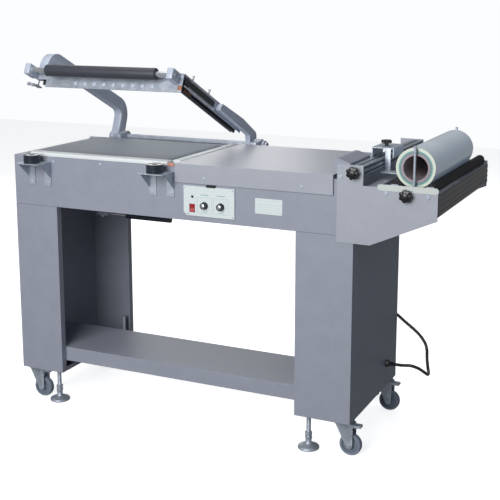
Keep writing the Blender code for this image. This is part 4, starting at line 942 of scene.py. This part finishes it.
# %% End rail, clip and rear cover
# The rail's section has four rounded ribs: a height of |sin(pi h / pitch)| to the power of a half.
stand_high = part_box("film_stand")[1]
RAIL_LOW, RAIL_HIGH, RIB_SPACING = 0.828, 0.895, 0.0168
rail_heights = np.linspace(RAIL_LOW, RAIL_HIGH, 61)
ribs = 0.0006 + 0.0022 * np.abs(np.sin(np.pi * (rail_heights - RAIL_LOW) / RIB_SPACING)) ** 0.5
rail_outline = [(0.0, RAIL_HIGH), (0.0, RAIL_LOW)] + list(zip(ribs, rail_heights))
end_rail = bar(rail_outline, (stand_high.x, stand_face + 0.004, 0), (stand_high.x, stand_high.y - 0.004, 0))
piece("stand_end_rail", *end_rail, black_moulding, "frame")
clip_at = spot(1.2480, 0.494, 0.3560)
saddle_high = block(clip_at + (-0.006, 0.0003, 0.0065), clip_at + (0.006, 0.024, 0.0080))
saddle_low = block(clip_at + (-0.006, 0.0003, -0.0080), clip_at + (0.006, 0.024, -0.0065))
saddle_back = block(clip_at + (-0.006, 0.0003, 0.0065), clip_at + (0.006, 0.0018, 0.0200))
piece("lead_clip", *together(saddle_high, saddle_low, saddle_back), black_moulding, "frame")
# The body is this deep, and the cover is this thick and lies a hair off the body.
DEPTH, COVER, CLEAR = 0.494, 0.0015, 0.0003
rear_panel = shifted(block((0, 0, 0), (0.300, COVER, 0.110)), *spot(0.720, DEPTH + CLEAR, 0.775))
piece("rear_cover", *rear_panel, powder_coat, "frame", bevel=0.0006)
rear_heads = [screw_head(spot(x, DEPTH + CLEAR + COVER, z), "y")
              for x in (0.728, 1.012) for z in (0.783, 0.877)]
piece("rear_screws", *together(*rear_heads), zinc, "frame")
print(len(rear_heads), "screws in the rear cover")

# %% [markdown]
# ## Studio
# A machine is lit for sale so that its fronts are even and its sides fall off, which shows its form. One
# large soft light stands in front, a second hangs above for the tops and a third lifts the rear. A weak
# bluish one on the right keeps the dark sides from going black. The floor is plain, pale and a little bright
# of its own, so that it fades into the background. It throws no light back on the machine, which would lift
# the dark sides.

# %% Floor, lights and world
floor_side = 14.0
bpy.ops.mesh.primitive_plane_add(size=floor_side, location=(0, 0, -0.0005))
floor = bpy.context.active_object
floor.name = "studio_floor"
paper = finish("pale studio floor", "#FCFCFC", "#F6F6F6", 30.0, rough=(0.7, 0.8), Emission_Strength=0.8)
paper.node_tree.nodes["Principled BSDF"].inputs["Emission Color"].default_value = linear("#FBFCFD")
floor.data.materials.append(paper)
floor.visible_diffuse = False
floor.visible_glossy = False


def soft_light(name, place, aim, size, watts, shine=1.0, tint=(1.0, 1.0, 1.0)):
    """A square area light at place that faces aim. shine is how much of it shows in reflections."""
    lamp_data = bpy.data.lights.new(name, "AREA")
    lamp_data.size = size
    lamp_data.energy = watts
    lamp_data.specular_factor = shine
    lamp_data.color = tint
    made = bpy.data.objects.new(name, lamp_data)
    made.location = place
    made.rotation_euler = (Vector(aim) - Vector(place)).to_track_quat("-Z", "Y").to_euler()
    bpy.context.scene.collection.objects.link(made)
    return made


soft_light("key", (-0.2, -4.0, 2.1), (0.25, 0.0, 0.7), 2.6, 158)
soft_light("overhead", (-0.6, 0.2, 4.2), (-0.1, 0.0, 0.6), 2.4, 46, 0.5)
soft_light("rear", (-2.5, 3.8, 2.2), (0.0, 0.0, 0.6), 2.4, 34, 0.03)
soft_light("fill", (4.2, -1.2, 2.4), (0.3, 0.0, 0.6), 3.0, 9, 0.4, (0.40, 0.75, 1.0))

# %% World
# The background is white to the camera, dim to mirror-like finishes and dimmer still as light.
WHITE, DIM, SHEEN = 1.0, 0.10, 0.16
world = bpy.data.worlds.new("studio")
bpy.context.scene.world = world
world.use_nodes = True
sky = world.node_tree
background = sky.nodes["Background"]
path = add(sky, "LightPath")
seen = add(sky, "Math", {0: path.outputs["Is Camera Ray"], 1: WHITE - DIM, 2: DIM},
           operation="MULTIPLY_ADD")
level = add(sky, "Math", {0: path.outputs["Is Glossy Ray"], 1: SHEEN, 2: seen.outputs[0]},
            operation="MULTIPLY_ADD")
background.inputs["Color"].default_value = (0.97, 0.98, 1.0, 1.0)
sky.links.new(level.outputs[0], background.inputs["Strength"])
bpy.context.scene.view_settings.view_transform = "Standard"
